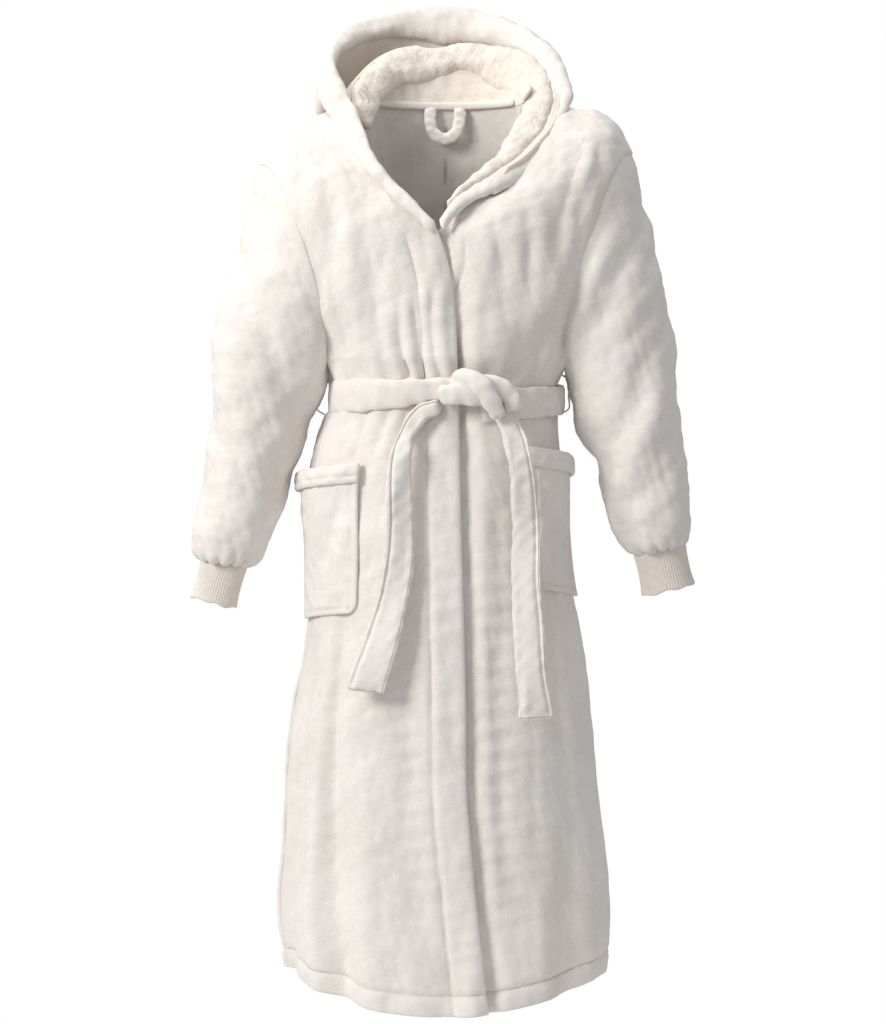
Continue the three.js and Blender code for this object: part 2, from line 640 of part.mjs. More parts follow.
function beltWaist() {
  const angles = along(44).slice(0, -1).map((t) => 2 * Math.PI * t);
  return bodyRows(angles, beltHeights, () => BELT_OFF);
}

function knot() {
  return along(8).map((t) => {
    const swell = Math.sin(Math.PI * lerp(0.12, 0.88, t)) ** 0.5;
    const centre = vec(KNOT.x + lerp(-KNOT_HALF_WIDTH, KNOT_HALF_WIDTH, t), KNOT.y, KNOT.z);
    return oval(centre, vec(0, KNOT_HALF_DEPTH * swell, 0), vec(0, 0, KNOT_HALF_HEIGHT * swell), 12);
  });
}

// A tail of the belt hangs from the knot to its stitched end, growing wider as it opens out.
function beltTail(path) {
  return along(21).map((t) => {
    const tangent = path.getTangent(t);
    const across = tangent.clone().cross(vec(0, 1, 0)).normalize();
    const width = lerp(TAIL_WIDTH, TAIL_END_WIDTH, smoothstep(t, 0.2, 1));
    return strapSection(path.getPoint(t), across.multiplyScalar(width / 2), vec(0, TAIL_CLOTH / 2, 0));
  });
}

const TAIL_START_Z = -WAIST_DROP - KNOT_HALF_HEIGHT - 1.5 * LAYER_GAP;
const TAIL_Y = Math.min(KNOT_Y, -(HIP_HALF_DEPTH + CLOTH + TAIL_CLOTH));
const TAIL_SPREAD = TAIL_WIDTH / 2 + 1; // how far each tail starts from the middle of the knot

// The line of a tail: down out of the knot, off to one side, then hanging to its end.
function tailPath(side, swing, endOut, endDrop) {
  const out = KNOT_OFFSET + side * swing;
  const hang = (share) => lerp(TAIL_START_Z, -endDrop, share);
  return curveThrough(
    [KNOT_OFFSET + side * TAIL_SPREAD, KNOT_Y, TAIL_START_Z],
    [KNOT_OFFSET + side * TAIL_SPREAD, KNOT_Y, TAIL_START_Z - 8],
    [KNOT_OFFSET + side * 0.78 * swing, TAIL_Y, TAIL_START_Z - 66],
    [out, TAIL_Y - 4, hang(0.35)],
    [lerp(out, endOut, 0.4), TAIL_Y - 5, hang(0.68)],
    [endOut, TAIL_Y - 6, -endDrop],
  );
}

// A belt loop at the right side seam: it bows out round the belt and is sewn on above and below it.
function beltLoop() {
  const outside = WAIST_HALF_WIDTH + BELT_OFF + (BELT_CLOTH + BELT_LOOP_CLOTH) / 2 + LAYER_GAP;
  const sewnZ = BELT_SEAT - 1;
  const sewnX = (z) => -(bodySize(z).width + CLOTH / 2 + LAYER_GAP + BELT_LOOP_CLOTH);
  const bend = BELT_HEIGHT / 2 + 1;
  const path = curveThrough(
    [sewnX(-WAIST_DROP + sewnZ), 0, -WAIST_DROP + sewnZ],
    [-outside, 0, -WAIST_DROP + bend],
    [-outside, 0, -WAIST_DROP],
    [-outside, 0, -WAIST_DROP - bend],
    [sewnX(-WAIST_DROP - sewnZ), 0, -WAIST_DROP - sewnZ],
  );
  return along(12).map((t) => {
    const across = path.getTangent(t).cross(vec(0, 1, 0)).normalize();
    across.multiplyScalar(BELT_LOOP_CLOTH / 2);
    return strapSection(path.getPoint(t), vec(0, BELT_LOOP_WIDTH / 2, 0), across);
  });
}

// ---- Patch pockets
const pocketAngles = along(10).map((t) => -degToRad(lerp(POCKET_FRONT_ANGLE, POCKET_SIDE_ANGLE, t)));
const POCKET_MOUTH_Z = -POCKET_TOP_DROP - POCKET_BAND_HEIGHT;
const mouthBulge = (u) => POCKET_BULGE * Math.sin(Math.PI * u);

function pocket() {
  const heights = along(8).map((t) => lerp(POCKET_MOUTH_Z - SEAM_GAP, -POCKET_BOTTOM_DROP, t));
  const seat = CLOTH / 2 + LAYER_GAP + POCKET_CLOTH / 2;
  return bodyRows(pocketAngles, heights, (u, v) => seat + mouthBulge(u) * (1 - v * v));
}

function pocketBand() {
  const heights = [-POCKET_TOP_DROP, POCKET_MOUTH_Z];
  const seat = CLOTH / 2 + LAYER_GAP + CLOTH / 2;
  return bodyRows(pocketAngles, heights, (u) => seat + mouthBulge(u));
}

// ---- The robe
const robe = new THREE.Group();
robe.position.y = -LOOP_Y;

const rightFront = rightFrontRows();
const leftFront = leftFrontRows();
robe.add(clothSolid("back_panel", backRows(), CLOTH, FLEECE));
robe.add(clothSolid("right_front_panel", rightFront, CLOTH, FLEECE));
robe.add(clothSolid("left_front_panel", leftFront, CLOTH, FLEECE));
robe.add(facing("right_front_facing", rightFront));
robe.add(facing("left_front_facing", leftFront));
robe.add(clothSolid("right_lapel", lapelRows(rightFront), LAPEL_CLOTH, FLEECE));
robe.add(clothSolid("left_lapel", lapelRows(leftFront), LAPEL_CLOTH, FLEECE));

// Pieces that come as a pair are made for the right side and mirrored for the left.
const sides = [
  { side: "right", rows: (r) => r, rings: (r) => r },
  { side: "left", rows: flipped, rings: (r) => r.map((ring) => ring.map(mirrored)) },
];
for (const { side, rows, rings } of sides) {
  robe.add(clothSolid(`${side}_sleeve`, rows(sleeve()), SLEEVE_CLOTH, FLEECE, true));
  robe.add(clothSolid(`${side}_cuff`, rows(cuff()), CUFF_CLOTH, RIB_KNIT, true));
  robe.add(clothSolid(`hood_${side}_half`, rows(hoodHalf()), HOOD_CLOTH, FLEECE));
  robe.add(loftSolid(`hood_rim_${side}`, rings(hoodRim()), FLEECE));
  robe.add(loftSolid(`hood_lining_${side}`, rings(hoodLining()), INNER_FLEECE));
  robe.add(clothSolid(`${side}_pocket`, rows(pocket()), POCKET_CLOTH, FLEECE));
  robe.add(clothSolid(`${side}_pocket_band`, rows(pocketBand()), CLOTH, FLEECE));
  robe.add(loftSolid(`${side}_belt_loop`, rings(beltLoop()), TAPE));
}

robe.add(clothSolid("neck_tape", neckTape(), TAPE_CLOTH, TAPE));
robe.add(loftSolid("hanging_loop", hangingLoop(), FLEECE));
robe.add(clothSolid("belt_waist", beltWaist(), BELT_CLOTH, FLEECE, true));
robe.add(loftSolid("belt_knot", knot(), FLEECE));
const rightTail = tailPath(-1, TAIL_SWING_RIGHT, RIGHT_TAIL_END_OUT, RIGHT_TAIL_END_DROP);
const leftTail = tailPath(1, TAIL_SWING_LEFT, LEFT_TAIL_END_OUT, LEFT_TAIL_END_DROP);
robe.add(loftSolid("belt_tail_right", beltTail(rightTail), FLEECE));
robe.add(loftSolid("belt_tail_left", beltTail(leftTail), FLEECE));

const bathrobe = new THREE.Group();
bathrobe.add(robe);
export default bathrobe;
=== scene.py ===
"""A long hooded plush bathrobe, tied at the waist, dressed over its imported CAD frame.

Metres, +Z up. The wearer faces -Y, and "right" is the wearer's right, towards -X. The neck seam is at
height 0, so a drop is a distance below it.
"""
import logging
import math
from dataclasses import dataclass, field
from enum import Enum

import bpy
import numpy as np
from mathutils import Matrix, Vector


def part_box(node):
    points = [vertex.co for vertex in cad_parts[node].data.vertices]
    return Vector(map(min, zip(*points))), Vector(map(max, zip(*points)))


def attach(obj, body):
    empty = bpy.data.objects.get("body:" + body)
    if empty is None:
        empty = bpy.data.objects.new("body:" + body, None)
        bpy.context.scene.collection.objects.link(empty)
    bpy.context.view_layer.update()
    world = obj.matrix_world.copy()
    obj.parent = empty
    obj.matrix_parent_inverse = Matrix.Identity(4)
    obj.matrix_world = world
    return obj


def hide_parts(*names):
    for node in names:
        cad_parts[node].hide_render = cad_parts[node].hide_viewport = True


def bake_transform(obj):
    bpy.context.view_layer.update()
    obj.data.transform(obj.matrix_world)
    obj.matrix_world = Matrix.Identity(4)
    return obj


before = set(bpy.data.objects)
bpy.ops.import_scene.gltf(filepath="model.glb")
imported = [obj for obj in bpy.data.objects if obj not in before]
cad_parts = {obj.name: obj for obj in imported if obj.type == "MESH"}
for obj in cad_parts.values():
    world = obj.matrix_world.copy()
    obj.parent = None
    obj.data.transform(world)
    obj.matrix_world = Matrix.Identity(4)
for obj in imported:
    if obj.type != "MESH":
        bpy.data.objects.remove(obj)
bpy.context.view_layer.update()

LOG = logging.getLogger("bathrobe")
SIDE_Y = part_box("hood_rim_right")[0].y  # the plane of the side seams
HEM_DROP = -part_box("back_panel")[0].z
FRONT_HEM_DROP = -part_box("right_front_panel")[0].z
CLOTH = 0.007  # thickness of the plush, pile included
EDGE_STEPS = np.array([0, 0.12, 0.42, 1.0])  # shares of a rounded edge's radius at which it has a row
FLOOR_DROP = 1.42
FLOOR_RADIUS = 0.72


class Side(Enum):
    """One of the wearer's two sides, with the sign of its X."""

    RIGHT = -1
    LEFT = 1


# ---------------------------------------------------------------- numbers along lines and surfaces


def smooth(x: np.ndarray, start: float, end: float) -> np.ndarray:
    """A soft step from 0 at start to 1 at end.

    Args:
        x: where to read it.
        start: the value of x at which it leaves 0.
        end: the value of x at which it reaches 1.

    Returns:
        Values from 0 to 1.
    """
    t = np.clip((x - start) / (end - start), 0, 1)
    return t * t * (3 - 2 * t)


def bump(x: np.ndarray, middle: float, width: float) -> np.ndarray:
    """A bell of height 1 round a middle.

    Args:
        x: where to read it.
        middle: where it is highest.
        width: how far from the middle it falls to about a third.

    Returns:
        Values from 0 to 1.
    """
    return np.exp(-(((x - middle) / width) ** 2))


def through(points, t: np.ndarray, even: bool = True) -> np.ndarray:
    """Reads a smooth curve that runs through the given points.

    Args:
        points: the points, one row each.
        t: shares of the way from the first point to the last.
        even: True if each point is one equal step on from the last, False to go by distance.

    Returns:
        One row for each t.
    """
    p = np.asarray(points, float).reshape(len(points), -1)
    knots = np.linspace(0, 1, len(p))
    if not even:
        steps = np.linalg.norm(np.diff(p, axis=0), axis=1)
        knots = np.concatenate([[0], np.cumsum(steps)]) / steps.sum()
    slope = np.gradient(p, knots, axis=0)
    t = np.clip(np.asarray(t, float), 0, 1)
    i = np.clip(np.searchsorted(knots, t, side="right") - 1, 0, len(p) - 2)
    gap = (knots[i + 1] - knots[i])[:, None]
    x = ((t - knots[i]) / gap[:, 0])[:, None]
    rise = x * x * (3 - 2 * x)
    leave = x * (1 - x) ** 2 * gap * slope[i]
    arrive = x * x * (x - 1) * gap * slope[i + 1]
    return p[i] * (1 - rise) + p[i + 1] * rise + leave + arrive


def profile(stops: list[tuple[float, float]], x: np.ndarray) -> np.ndarray:
    """Reads a smooth outline given as (place, value) stops.

    Args:
        stops: the stops, in rising order of place.
        x: the places to read.

    Returns:
        The values, in the shape of x.
    """
    places, values = np.array(stops, float).T
    slope = np.gradient(values, places)
    flat = np.clip(np.ravel(x), places[0], places[-1])
    i = np.clip(np.searchsorted(places, flat, side="right") - 1, 0, len(places) - 2)
    gap = places[i + 1] - places[i]
    t = (flat - places[i]) / gap
    rise = t * t * (3 - 2 * t)
    out = values[i] * (1 - rise) + values[i + 1] * rise
    out += t * (1 - t) ** 2 * gap * slope[i] + t * t * (t - 1) * gap * slope[i + 1]
    return out.reshape(np.shape(x))


def wander(p: np.ndarray, size, seed: int, waves: int = 9) -> np.ndarray:
    """Smooth seeded noise, about -1 to 1.

    Args:
        p: points, with x, y and z last.
        size: about how far apart its lumps lie, as one number or one for each of x, y and z.
        seed: picks the pattern.
        waves: how many plane waves it is summed from.

    Returns:
        One value for each point.
    """
    rng = np.random.default_rng(seed)
    q = p / np.broadcast_to(size, 3)
    total = np.zeros(p.shape[:-1])
    for _ in range(waves):
        way = rng.normal(size=3)
        way *= rng.uniform(0.7, 1.5) / np.linalg.norm(way)
        total += np.sin(2 * math.pi * (q @ way) + rng.uniform(0, 2 * math.pi))
    return total / math.sqrt(waves)


def spaced(count: int, length: float, lip: float = CLOTH / 2) -> np.ndarray:
    """Even shares of a length, with finer ones where a rounded edge turns over at each end.

    Args:
        count: how many even steps.
        length: the length in metres.
        lip: radius of the rounded edge.

    Returns:
        Rising shares from 0 to 1.
    """
    fine = EDGE_STEPS * lip / length
    even = np.linspace(0, 1, count + 1)
    inside = even[(even > 1.6 * fine[-1]) & (even < 1 - 1.6 * fine[-1])]
    return np.concatenate([fine, inside, 1 - fine[::-1]])


def normals(grid: np.ndarray, inside: np.ndarray, wraps: bool = False) -> np.ndarray:
    """Unit normals of a grid of points that face away from a place inside.

    Args:
        grid: rows and columns of points.
        inside: a point, or one for each grid point, that the normals face away from.
        wraps: True if the last column joins the first.

    Returns:
        A normal for each point.
    """
    wide = np.concatenate([grid[:, -2:], grid, grid[:, :2]], axis=1) if wraps else grid
    across = np.gradient(wide, axis=1)
    down = np.gradient(wide, axis=0)
    if wraps:
        across, down = across[:, 2:-2], down[:, 2:-2]
    n = np.cross(across, down)
    n /= np.maximum(np.linalg.norm(n, axis=-1, keepdims=True), 1e-12)
    away = np.sum(n * (grid - inside), axis=-1)
    return n if np.median(away) > 0 else -n


def ring_normals(rings: np.ndarray) -> np.ndarray:
    """Unit normals of rings of points that face away from each ring's middle.

    Args:
        rings: one row of points for each ring, whose last joins its first.

    Returns:
        A normal for each point.
    """
    return normals(rings, rings.mean(axis=1, keepdims=True), True)


def axis_beside(grid: np.ndarray, highest: float = math.inf) -> np.ndarray:
    """The point of the robe's upright axis that is level with each point of a grid.

    Args:
        grid: rows and columns of points.
        highest: the height above which the axis isn't followed.

    Returns:
        A point for each grid point.
    """
    level = np.minimum(grid[..., 2], highest)
    return np.stack([0 * level, SIDE_Y + 0 * level, level], axis=-1)


def lengths(grid: np.ndarray, axis: int) -> np.ndarray:
    """Distance run along a grid from its first row or column.

    Args:
        grid: rows and columns of points.
        axis: 0 to go down the columns, 1 to go along the rows.

    Returns:
        A distance for each point.
    """
    steps = np.linalg.norm(np.diff(grid, axis=axis), axis=-1)
    start = np.zeros((1, grid.shape[1]) if axis == 0 else (grid.shape[0], 1))
    return np.concatenate([start, np.cumsum(steps, axis=axis)], axis=axis)


def crease(grid: np.ndarray, line: list[tuple[float, float]], depth: float, width: float) -> np.ndarray:
    """A soft valley along a line that is given as seen from the front.

    Args:
        grid: points of the cloth.
        line: (x, z) points of the valley, in metres.
        depth: how deep it is in the middle; a negative depth is a ridge.
        width: its half width.

    Returns:
        How far each point moves outwards.
    """
    spots = through(line, np.linspace(0, 1, 24), even=False)
    flat = grid[..., [0, 2]].reshape(-1, 2)
    far = np.linalg.norm(flat[:, None, :] - spots[None], axis=2)
    nearest = far.argmin(axis=1)
    fade = np.sin(math.pi * (nearest + 0.5) / len(spots)) ** 0.7
    amount = -depth * fade * np.exp(-((far.min(axis=1) / width) ** 2))
    return amount.reshape(grid.shape[:2])


# ---------------------------------------------------------------- meshes


def mesh_of(name: str, points: np.ndarray, faces: list, finish: "Finish") -> bpy.types.Object:
    """Makes a smooth closed mesh whose faces point out.

    Args:
        name: the piece's name.
        points: its points.
        faces: its faces, as lists of point numbers.
        finish: what it is made of.

    Returns:
        The new object.
    """
    tris = np.array([f[:3] for f in faces])
    quads = np.array([[f[0], f[2], f[3]] for f in faces if len(f) == 4])
    every = np.concatenate([tris, quads]) if len(quads) else tris
    a, b, c = (points[every[:, k]] - points.mean(axis=0) for k in range(3))
    if np.sum(a * np.cross(b, c)) < 0:
        faces = [f[::-1] for f in faces]
    mesh = bpy.data.meshes.new(name)
    mesh.from_pydata(points.tolist(), [], faces)
    mesh.polygons.foreach_set("use_smooth", [True] * len(mesh.polygons))
    mesh.materials.append(finish.material())
    made = bpy.data.objects.new(name, mesh)
    bpy.context.scene.collection.objects.link(made)
    LOG.info("%s: %d points, %d faces", name, len(points), len(faces))
    return made


def quads_between(rows: np.ndarray, wraps: bool) -> list:
    """The quads of a grid of point numbers.

    Args:
        rows: the point numbers, in rows and columns.
        wraps: True if the last column joins the first.

    Returns:
        Lists of four point numbers.
    """
    grid = np.concatenate([rows, rows[:, :1]], axis=1) if wraps else rows
    corners = [grid[:-1, :-1], grid[:-1, 1:], grid[1:, 1:], grid[1:, :-1]]
    return np.stack([c.ravel() for c in corners], axis=1).tolist()


def cloth(
    name: str, grid: np.ndarray, out: np.ndarray, thickness: float, finish: "Finish", wraps: bool = False
) -> bpy.types.Object:
    """A sheet of cloth with rounded edges round a grid of points at its middle.

    Args:
        name: the piece's name.
        grid: rows and columns of points.
        out: the outward normal at each.
        thickness: the cloth's thickness.
        finish: what it is made of.
        wraps: True for a tube, whose last column joins the first.

    Returns:
        The new object.
    """
    down = lengths(grid, 0)
    near = np.minimum(down, down[-1:] - down)
    if not wraps:
        along = lengths(grid, 1)
        near = np.minimum(near, np.minimum(along, along[:, -1:] - along))
    lip = thickness / 2
    half = lip * np.sqrt(1 - (1 - np.clip(near / lip, 0, 1)) ** 2)
    outer = np.arange(near.size).reshape(near.shape)
    edge = np.zeros(near.shape, bool)
    edge[[0, -1]] = True
    if not wraps:
        edge[:, [0, -1]] = True
    half[edge] = 0
    inner = outer.copy()
    inner[~edge] = near.size + np.arange(np.count_nonzero(~edge))
    shift = out * half[..., None]
    points = np.concatenate([(grid + shift).reshape(-1, 3), (grid - shift)[~edge]])
    faces = quads_between(outer, wraps) + [f[::-1] for f in quads_between(inner, wraps)]
    return mesh_of(name, points, faces, finish)


def solid(name: str, rings: np.ndarray, finish: "Finish") -> bpy.types.Object:
    """A closed solid through rings of points, with each end drawn together.

    Args:
        name: the piece's name.
        rings: one row of points for each ring.
        finish: what it is made of.

    Returns:
        The new object.
    """
    count = rings.shape[0] * rings.shape[1]
    numbers = np.arange(count).reshape(rings.shape[:2])
    ends = rings[[0, -1]].mean(axis=1)
    faces = quads_between(numbers, True)
    for tip, ring, turn in ((count, numbers[0], 1), (count + 1, numbers[-1], -1)):
        around = np.stack([np.full(len(ring), tip), np.roll(ring, -1), ring], axis=1)[:, ::turn]
        faces += around.tolist()
    return mesh_of(name, np.concatenate([rings.reshape(-1, 3), ends]), faces, finish)


def roll(
    edge_a: np.ndarray, edge_b: np.ndarray, thickness: np.ndarray, sides: int, full: float = 1.0
) -> np.ndarray:
    """Rings of a rounded roll or strap between two edge lines.

    Args:
        edge_a: points of one edge.
        edge_b: the matching points of the other edge.
        thickness: how thick it is at each.
        sides: points to a ring.
        full: 1 for an oval section, less for one that is squarer.

    Returns:
        Rings of points, drawn together at both ends.
    """
    middle = (edge_a + edge_b) / 2
    half = (edge_b - edge_a) / 2
    ahead = np.gradient(middle, axis=0)
    lift = np.cross(ahead, half)
    lift *= (thickness / 2 / np.linalg.norm(lift, axis=1))[:, None]
    run = np.concatenate([[0], np.cumsum(np.linalg.norm(np.diff(middle, axis=0), axis=1))])
    near = np.minimum(run, run[-1] - run) / (thickness / 2)
    close = np.sqrt(1 - (1 - np.clip(near, 0.02, 1)) ** 2)[:, None, None]
    angle = np.linspace(0, 2 * math.pi, sides, endpoint=False)
    c, s = np.cos(angle), np.sin(angle)
    c, s = np.sign(c) * np.abs(c) ** full, np.sign(s) * np.abs(s) ** full
    ring = c[None, :, None] * half[:, None] + s[None, :, None] * lift[:, None]
    return middle[:, None] + ring * close


def pressed(rings: np.ndarray) -> float:
    """Width of a tube of cloth when it is pressed flat.

    Args:
        rings: the tube's rings of points.

    Returns:
        Half its girth in the middle.
    """
    ring = rings[len(rings) // 2]
    return float(np.linalg.norm(ring - np.roll(ring, 1, axis=0), axis=1).sum()) / 2


def declare(made: bpy.types.Object, pattern: np.ndarray, rests_on: list) -> None:
    """Logs a piece's flat size, measured on a grid of points.

    Args:
        made: the piece.
        pattern: rows and columns of points, with their folds left out unless the piece has none of its own.
        rests_on: what it hangs from or lies on; not used.
    """
    width = float(lengths(pattern, 1)[:, -1].max())
    length = float(lengths(pattern, 0)[-1].max())
    across = np.diff(pattern, axis=1)[:-1]
    down = np.diff(pattern, axis=0)[:, :-1]
    area = float(np.linalg.norm(np.cross(across, down), axis=-1).sum())
    area = min(area, width * length)
    LOG.info("%s: cut %.3f by %.3f m, %.3f m2", made.name, width, length, area)


# ---------------------------------------------------------------- finishes


@dataclass(frozen=True)
class Finish:
    """What a piece is made of.

    Attributes:
        slot: the first part of the material's name.
        light: colour of the raised pile.
        deep: colour where the pile sinks between the tufts, which is painted shade.
        tuft: size of the tufts in metres.
        height: how far the pile's surface rises and falls.
        blotch: how strongly large random patches lighten and darken it, which is painted sheen of the
            brushed pile.
        sheen: weight of the soft edge glow.
        rough: roughness.
    """

    slot: str
    light: tuple[float, float, float]
    deep: tuple[float, float, float]
    tuft: float
    height: float
    blotch: float
    sheen: float
    rough: float = 0.95

    def material(self) -> bpy.types.Material:
        """Makes the material, or returns the one already made.

        Returns:
            The material of this finish.
        """
        name = f"{self.slot}_{round(self.tuft * 1e5)}"
        found = bpy.data.materials.get(name)
        if found:
            return found
        made = bpy.data.materials.new(name)
        made.use_nodes = True
        tree = made.node_tree
        shader = tree.nodes["Principled BSDF"]
        place = tree.nodes.new("ShaderNodeTexCoord").outputs["Object"]
        tufts = self.noise(tree, place, 1 / self.tuft, 3.0)
        clumps = self.noise(tree, place, 0.18 / self.tuft, 2.0)
        # Large patches lighter and darker, as brushed pile catches the light: painted sheen.
        sheen_patches = self.noise(tree, place, 0.02 / self.tuft, 2.0)
        relief = self.weighted(tree, tufts, clumps, 0.45)
        shade = self.weighted(tree, relief, sheen_patches, self.blotch)
        # The colour goes from deep where the relief is low to light where it is raised: painted shade
        # between the tufts.
        ramp = tree.nodes.new("ShaderNodeValToRGB")
        ramp.color_ramp.elements[0].position = 0.3
        ramp.color_ramp.elements[0].color = (*self.deep, 1)
        ramp.color_ramp.elements[1].position = 0.62
        ramp.color_ramp.elements[1].color = (*self.light, 1)
        tree.links.new(shade, ramp.inputs["Fac"])
        tree.links.new(ramp.outputs["Color"], shader.inputs["Base Color"])
        raised = tree.nodes.new("ShaderNodeBump")
        raised.inputs["Strength"].default_value = 1.0
        raised.inputs["Distance"].default_value = self.height
        tree.links.new(relief, raised.inputs["Height"])
        tree.links.new(raised.outputs["Normal"], shader.inputs["Normal"])
        shader.inputs["Roughness"].default_value = self.rough
        shader.inputs["Sheen Weight"].default_value = self.sheen
        shader.inputs["Sheen Roughness"].default_value = 0.55
        shader.inputs["Specular IOR Level"].default_value = 0.2
        return made

    @staticmethod
    def noise(tree: bpy.types.NodeTree, place, scale: float, detail: float):
        """Adds a noise texture.

        Args:
            tree: the material's node tree.
            place: the socket with the coordinates.
            scale: how many lumps to the metre.
            detail: how many finer layers it has.

        Returns:
            The socket with its value.
        """
        node = tree.nodes.new("ShaderNodeTexNoise")
        node.inputs["Scale"].default_value = scale
        node.inputs["Detail"].default_value = detail
        node.inputs["Roughness"].default_value = 0.6
        tree.links.new(place, node.inputs["Vector"])
        return node.outputs["Fac"]

    @staticmethod
    def weighted(tree: bpy.types.NodeTree, a, b, share: float):
        """Mixes two values.

        Args:
            tree: the material's node tree.
            a: the first value's socket.
            b: the second value's socket.
            share: how much of the second.

        Returns:
            The socket with the mix.
        """
        node = tree.nodes.new("ShaderNodeMix")
        node.inputs["Factor"].default_value = share
        tree.links.new(a, node.inputs["A"])
        tree.links.new(b, node.inputs["B"])
        return node.outputs["Result"]


# In every finish the darker second colour is painted shade, laid where the pile sinks between its tufts.
PLUSH = Finish("plush_fleece", (0.87, 0.825, 0.785), (0.74, 0.685, 0.635), 0.0022, 0.0011, 0.4, 0.25)
# The lining's darker colour is warmer than the plush's: painted warm shade in the depth of its pile.
LINING = Finish("lining_fleece", (0.88, 0.825, 0.755), (0.74, 0.65, 0.55), 0.0055, 0.0032, 0.2, 0.3)
RIB = Finish("rib_knit", (0.84, 0.775, 0.715), (0.72, 0.64, 0.575), 0.0012, 0.0003, 0.2, 0.15)
# A warmer, darker copy of the plush for the hood's inside: painted warm shade.
PLUSH_IN_PAINTED_SHADE = Finish("plush_fleece", (0.87, 0.80, 0.72), (0.74, 0.66, 0.57), 0.0030, 0.0014, 0.3, 0.25)
TAPE = Finish("tape", (0.86, 0.825, 0.775), (0.76, 0.71, 0.65), 0.0009, 0.0002, 0.1, 0.1)


# ---------------------------------------------------------------- the body's form


@dataclass(frozen=True)
class BodyForm:
    """The shape that the robe hangs in, from the shoulders to the hem.

    Attributes:
        neck_half_width: half the width of the neck seam.
        neck_half_depth: how far back the neck seam reaches.
        shoulder: sideways place and drop of each shoulder's end.
        shoulder_rise: how far each shoulder bows up above a straight line.
        armpit_out: sideways place of the armpit.
        armpit_drop: its drop.
        armhole_half_depth: half the armhole's depth, front to back.
        armhole_bow: how far the armhole's seam bows in over the chest.
        belt_drop: drop of the belt's middle.
        crossing: sideways place and drop of the point where the fronts cross.
        underlap: how far the left front runs on under the right one.
    """

    neck_half_width: float = 0.112
    neck_half_depth: float = 0.072
    shoulder: dict = field(
        default_factory=lambda: {Side.RIGHT: (0.2555, 0.0925), Side.LEFT: (0.257, 0.076)}
    )
    shoulder_rise: dict = field(default_factory=lambda: {Side.RIGHT: 0.030, Side.LEFT: 0.034})
    armpit_out: float = 0.170
    armpit_drop: float = 0.362
    armhole_half_depth: float = 0.080
    armhole_bow: float = 0.026
    belt_drop: float = 0.410
    crossing: tuple[float, float] = (-0.010, 0.189)
    underlap: float = 0.105

    def half_width(self, angle: np.ndarray, z: np.ndarray) -> np.ndarray:
        """Half width of the body, which differs a little between its two sides.

        Args:
            angle: 0 at the front, a quarter turn at the wearer's left.
            z: height.

        Returns:
            The half width of the middle of the cloth.
        """
        right = [(0.362, 0.166), (0.384, 0.158), (0.41, 0.149), (0.436, 0.160), (0.497, 0.181)]
        right += [(0.64, 0.184), (0.75, 0.187), (0.85, 0.204), (1.02, 0.213), (1.12, 0.221), (1.2, 0.210)]
        left = [(0.362, 0.166), (0.384, 0.153), (0.41, 0.149), (0.45, 0.151), (0.5, 0.156), (0.67, 0.171)]
        left += [(0.75, 0.187), (0.86, 0.201), (0.97, 0.210), (1.06, 0.221), (1.13, 0.225), (1.2, 0.218)]
        share = (1 + np.sin(angle)) / 2
        return profile(right, -z) * (1 - share) + profile(left, -z) * share

    def half_depth(self, z: np.ndarray) -> np.ndarray:
        """Half depth of the body at a height.

        Args:
            z: height.

        Returns:
            The half depth of the middle of the cloth.
        """
        stops = [(0.362, 0.114), (0.384, 0.104), (0.41, 0.099), (0.438, 0.104), (0.6, 0.124), (1.2, 0.142)]
        return profile(stops, -z)

    def point(self, angle: np.ndarray, z: np.ndarray, lift: np.ndarray = 0.0) -> np.ndarray:
        """A point on the body.

        Args:
            angle: 0 at the front, a quarter turn at the wearer's left.
            z: height.
            lift: how far off the body.

        Returns:
            The point for each angle and height.
        """
        wide = self.half_width(angle, z)
        deep = self.half_depth(z)
        n = np.stack([np.sin(angle) / wide, -np.cos(angle) / deep, 0 * z], axis=-1)
        n /= np.linalg.norm(n, axis=-1, keepdims=True)
        at = np.stack([wide * np.sin(angle), SIDE_Y - deep * np.cos(angle), z + 0 * angle], axis=-1)
        return at + n * np.asarray(lift + 0 * z)[..., None]

    def hem(self, angle: np.ndarray) -> np.ndarray:
        """Height of the hem, which dips towards the front.

        Args:
            angle: 0 at the front.

        Returns:
            The height at each angle.
        """
        dip = FRONT_HEM_DROP - HEM_DROP
        return -HEM_DROP - dip * np.maximum(np.cos(angle), 0) ** 2

    def front_edge(self, z: np.ndarray) -> np.ndarray:
        """Sideways place of the upper (right) front's edge.

        Args:
            z: height.

        Returns:
            The place at each height.
        """
        stops = [(self.crossing[1], self.crossing[0]), (0.2325, 0.004), (0.3, 0.0135), (0.39, 0.0175)]
        stops += [(0.6, 0.022), (0.83, 0.028), (0.94, 0.029), (1.03, 0.036), (1.12, 0.0445), (1.245, 0.058)]
        return profile(stops, -z)

    def angle_at(self, x: np.ndarray, z: np.ndarray) -> np.ndarray:
        """The angle at which the front of the body has a given sideways place.

        Args:
            x: sideways place.
            z: height.

        Returns:
            The angle.
        """
        angle = np.zeros_like(x)
        for _ in range(4):
            angle = np.arcsin(np.clip(x / self.half_width(angle, z), -1, 1))
        return angle

    def shoulder_line(self, side: Side, t: np.ndarray) -> np.ndarray:
        """The shoulder seam, from the neck (0) to the shoulder's end (1).

        Args:
            side: which shoulder.
            t: shares of the way.

        Returns:
            Points of the seam.
        """
        out, drop = self.shoulder[side]
        bow = profile([(0, 0), (0.25, 0.34), (0.45, 0.62), (0.76, 1), (0.9, 0.68), (1, 0)], t)
        x = self.neck_half_width + t * (out - self.neck_half_width)
        z = bow * self.shoulder_rise[side] - t * drop
        return np.stack([side.value * x, SIDE_Y + 0 * t, z], axis=-1)

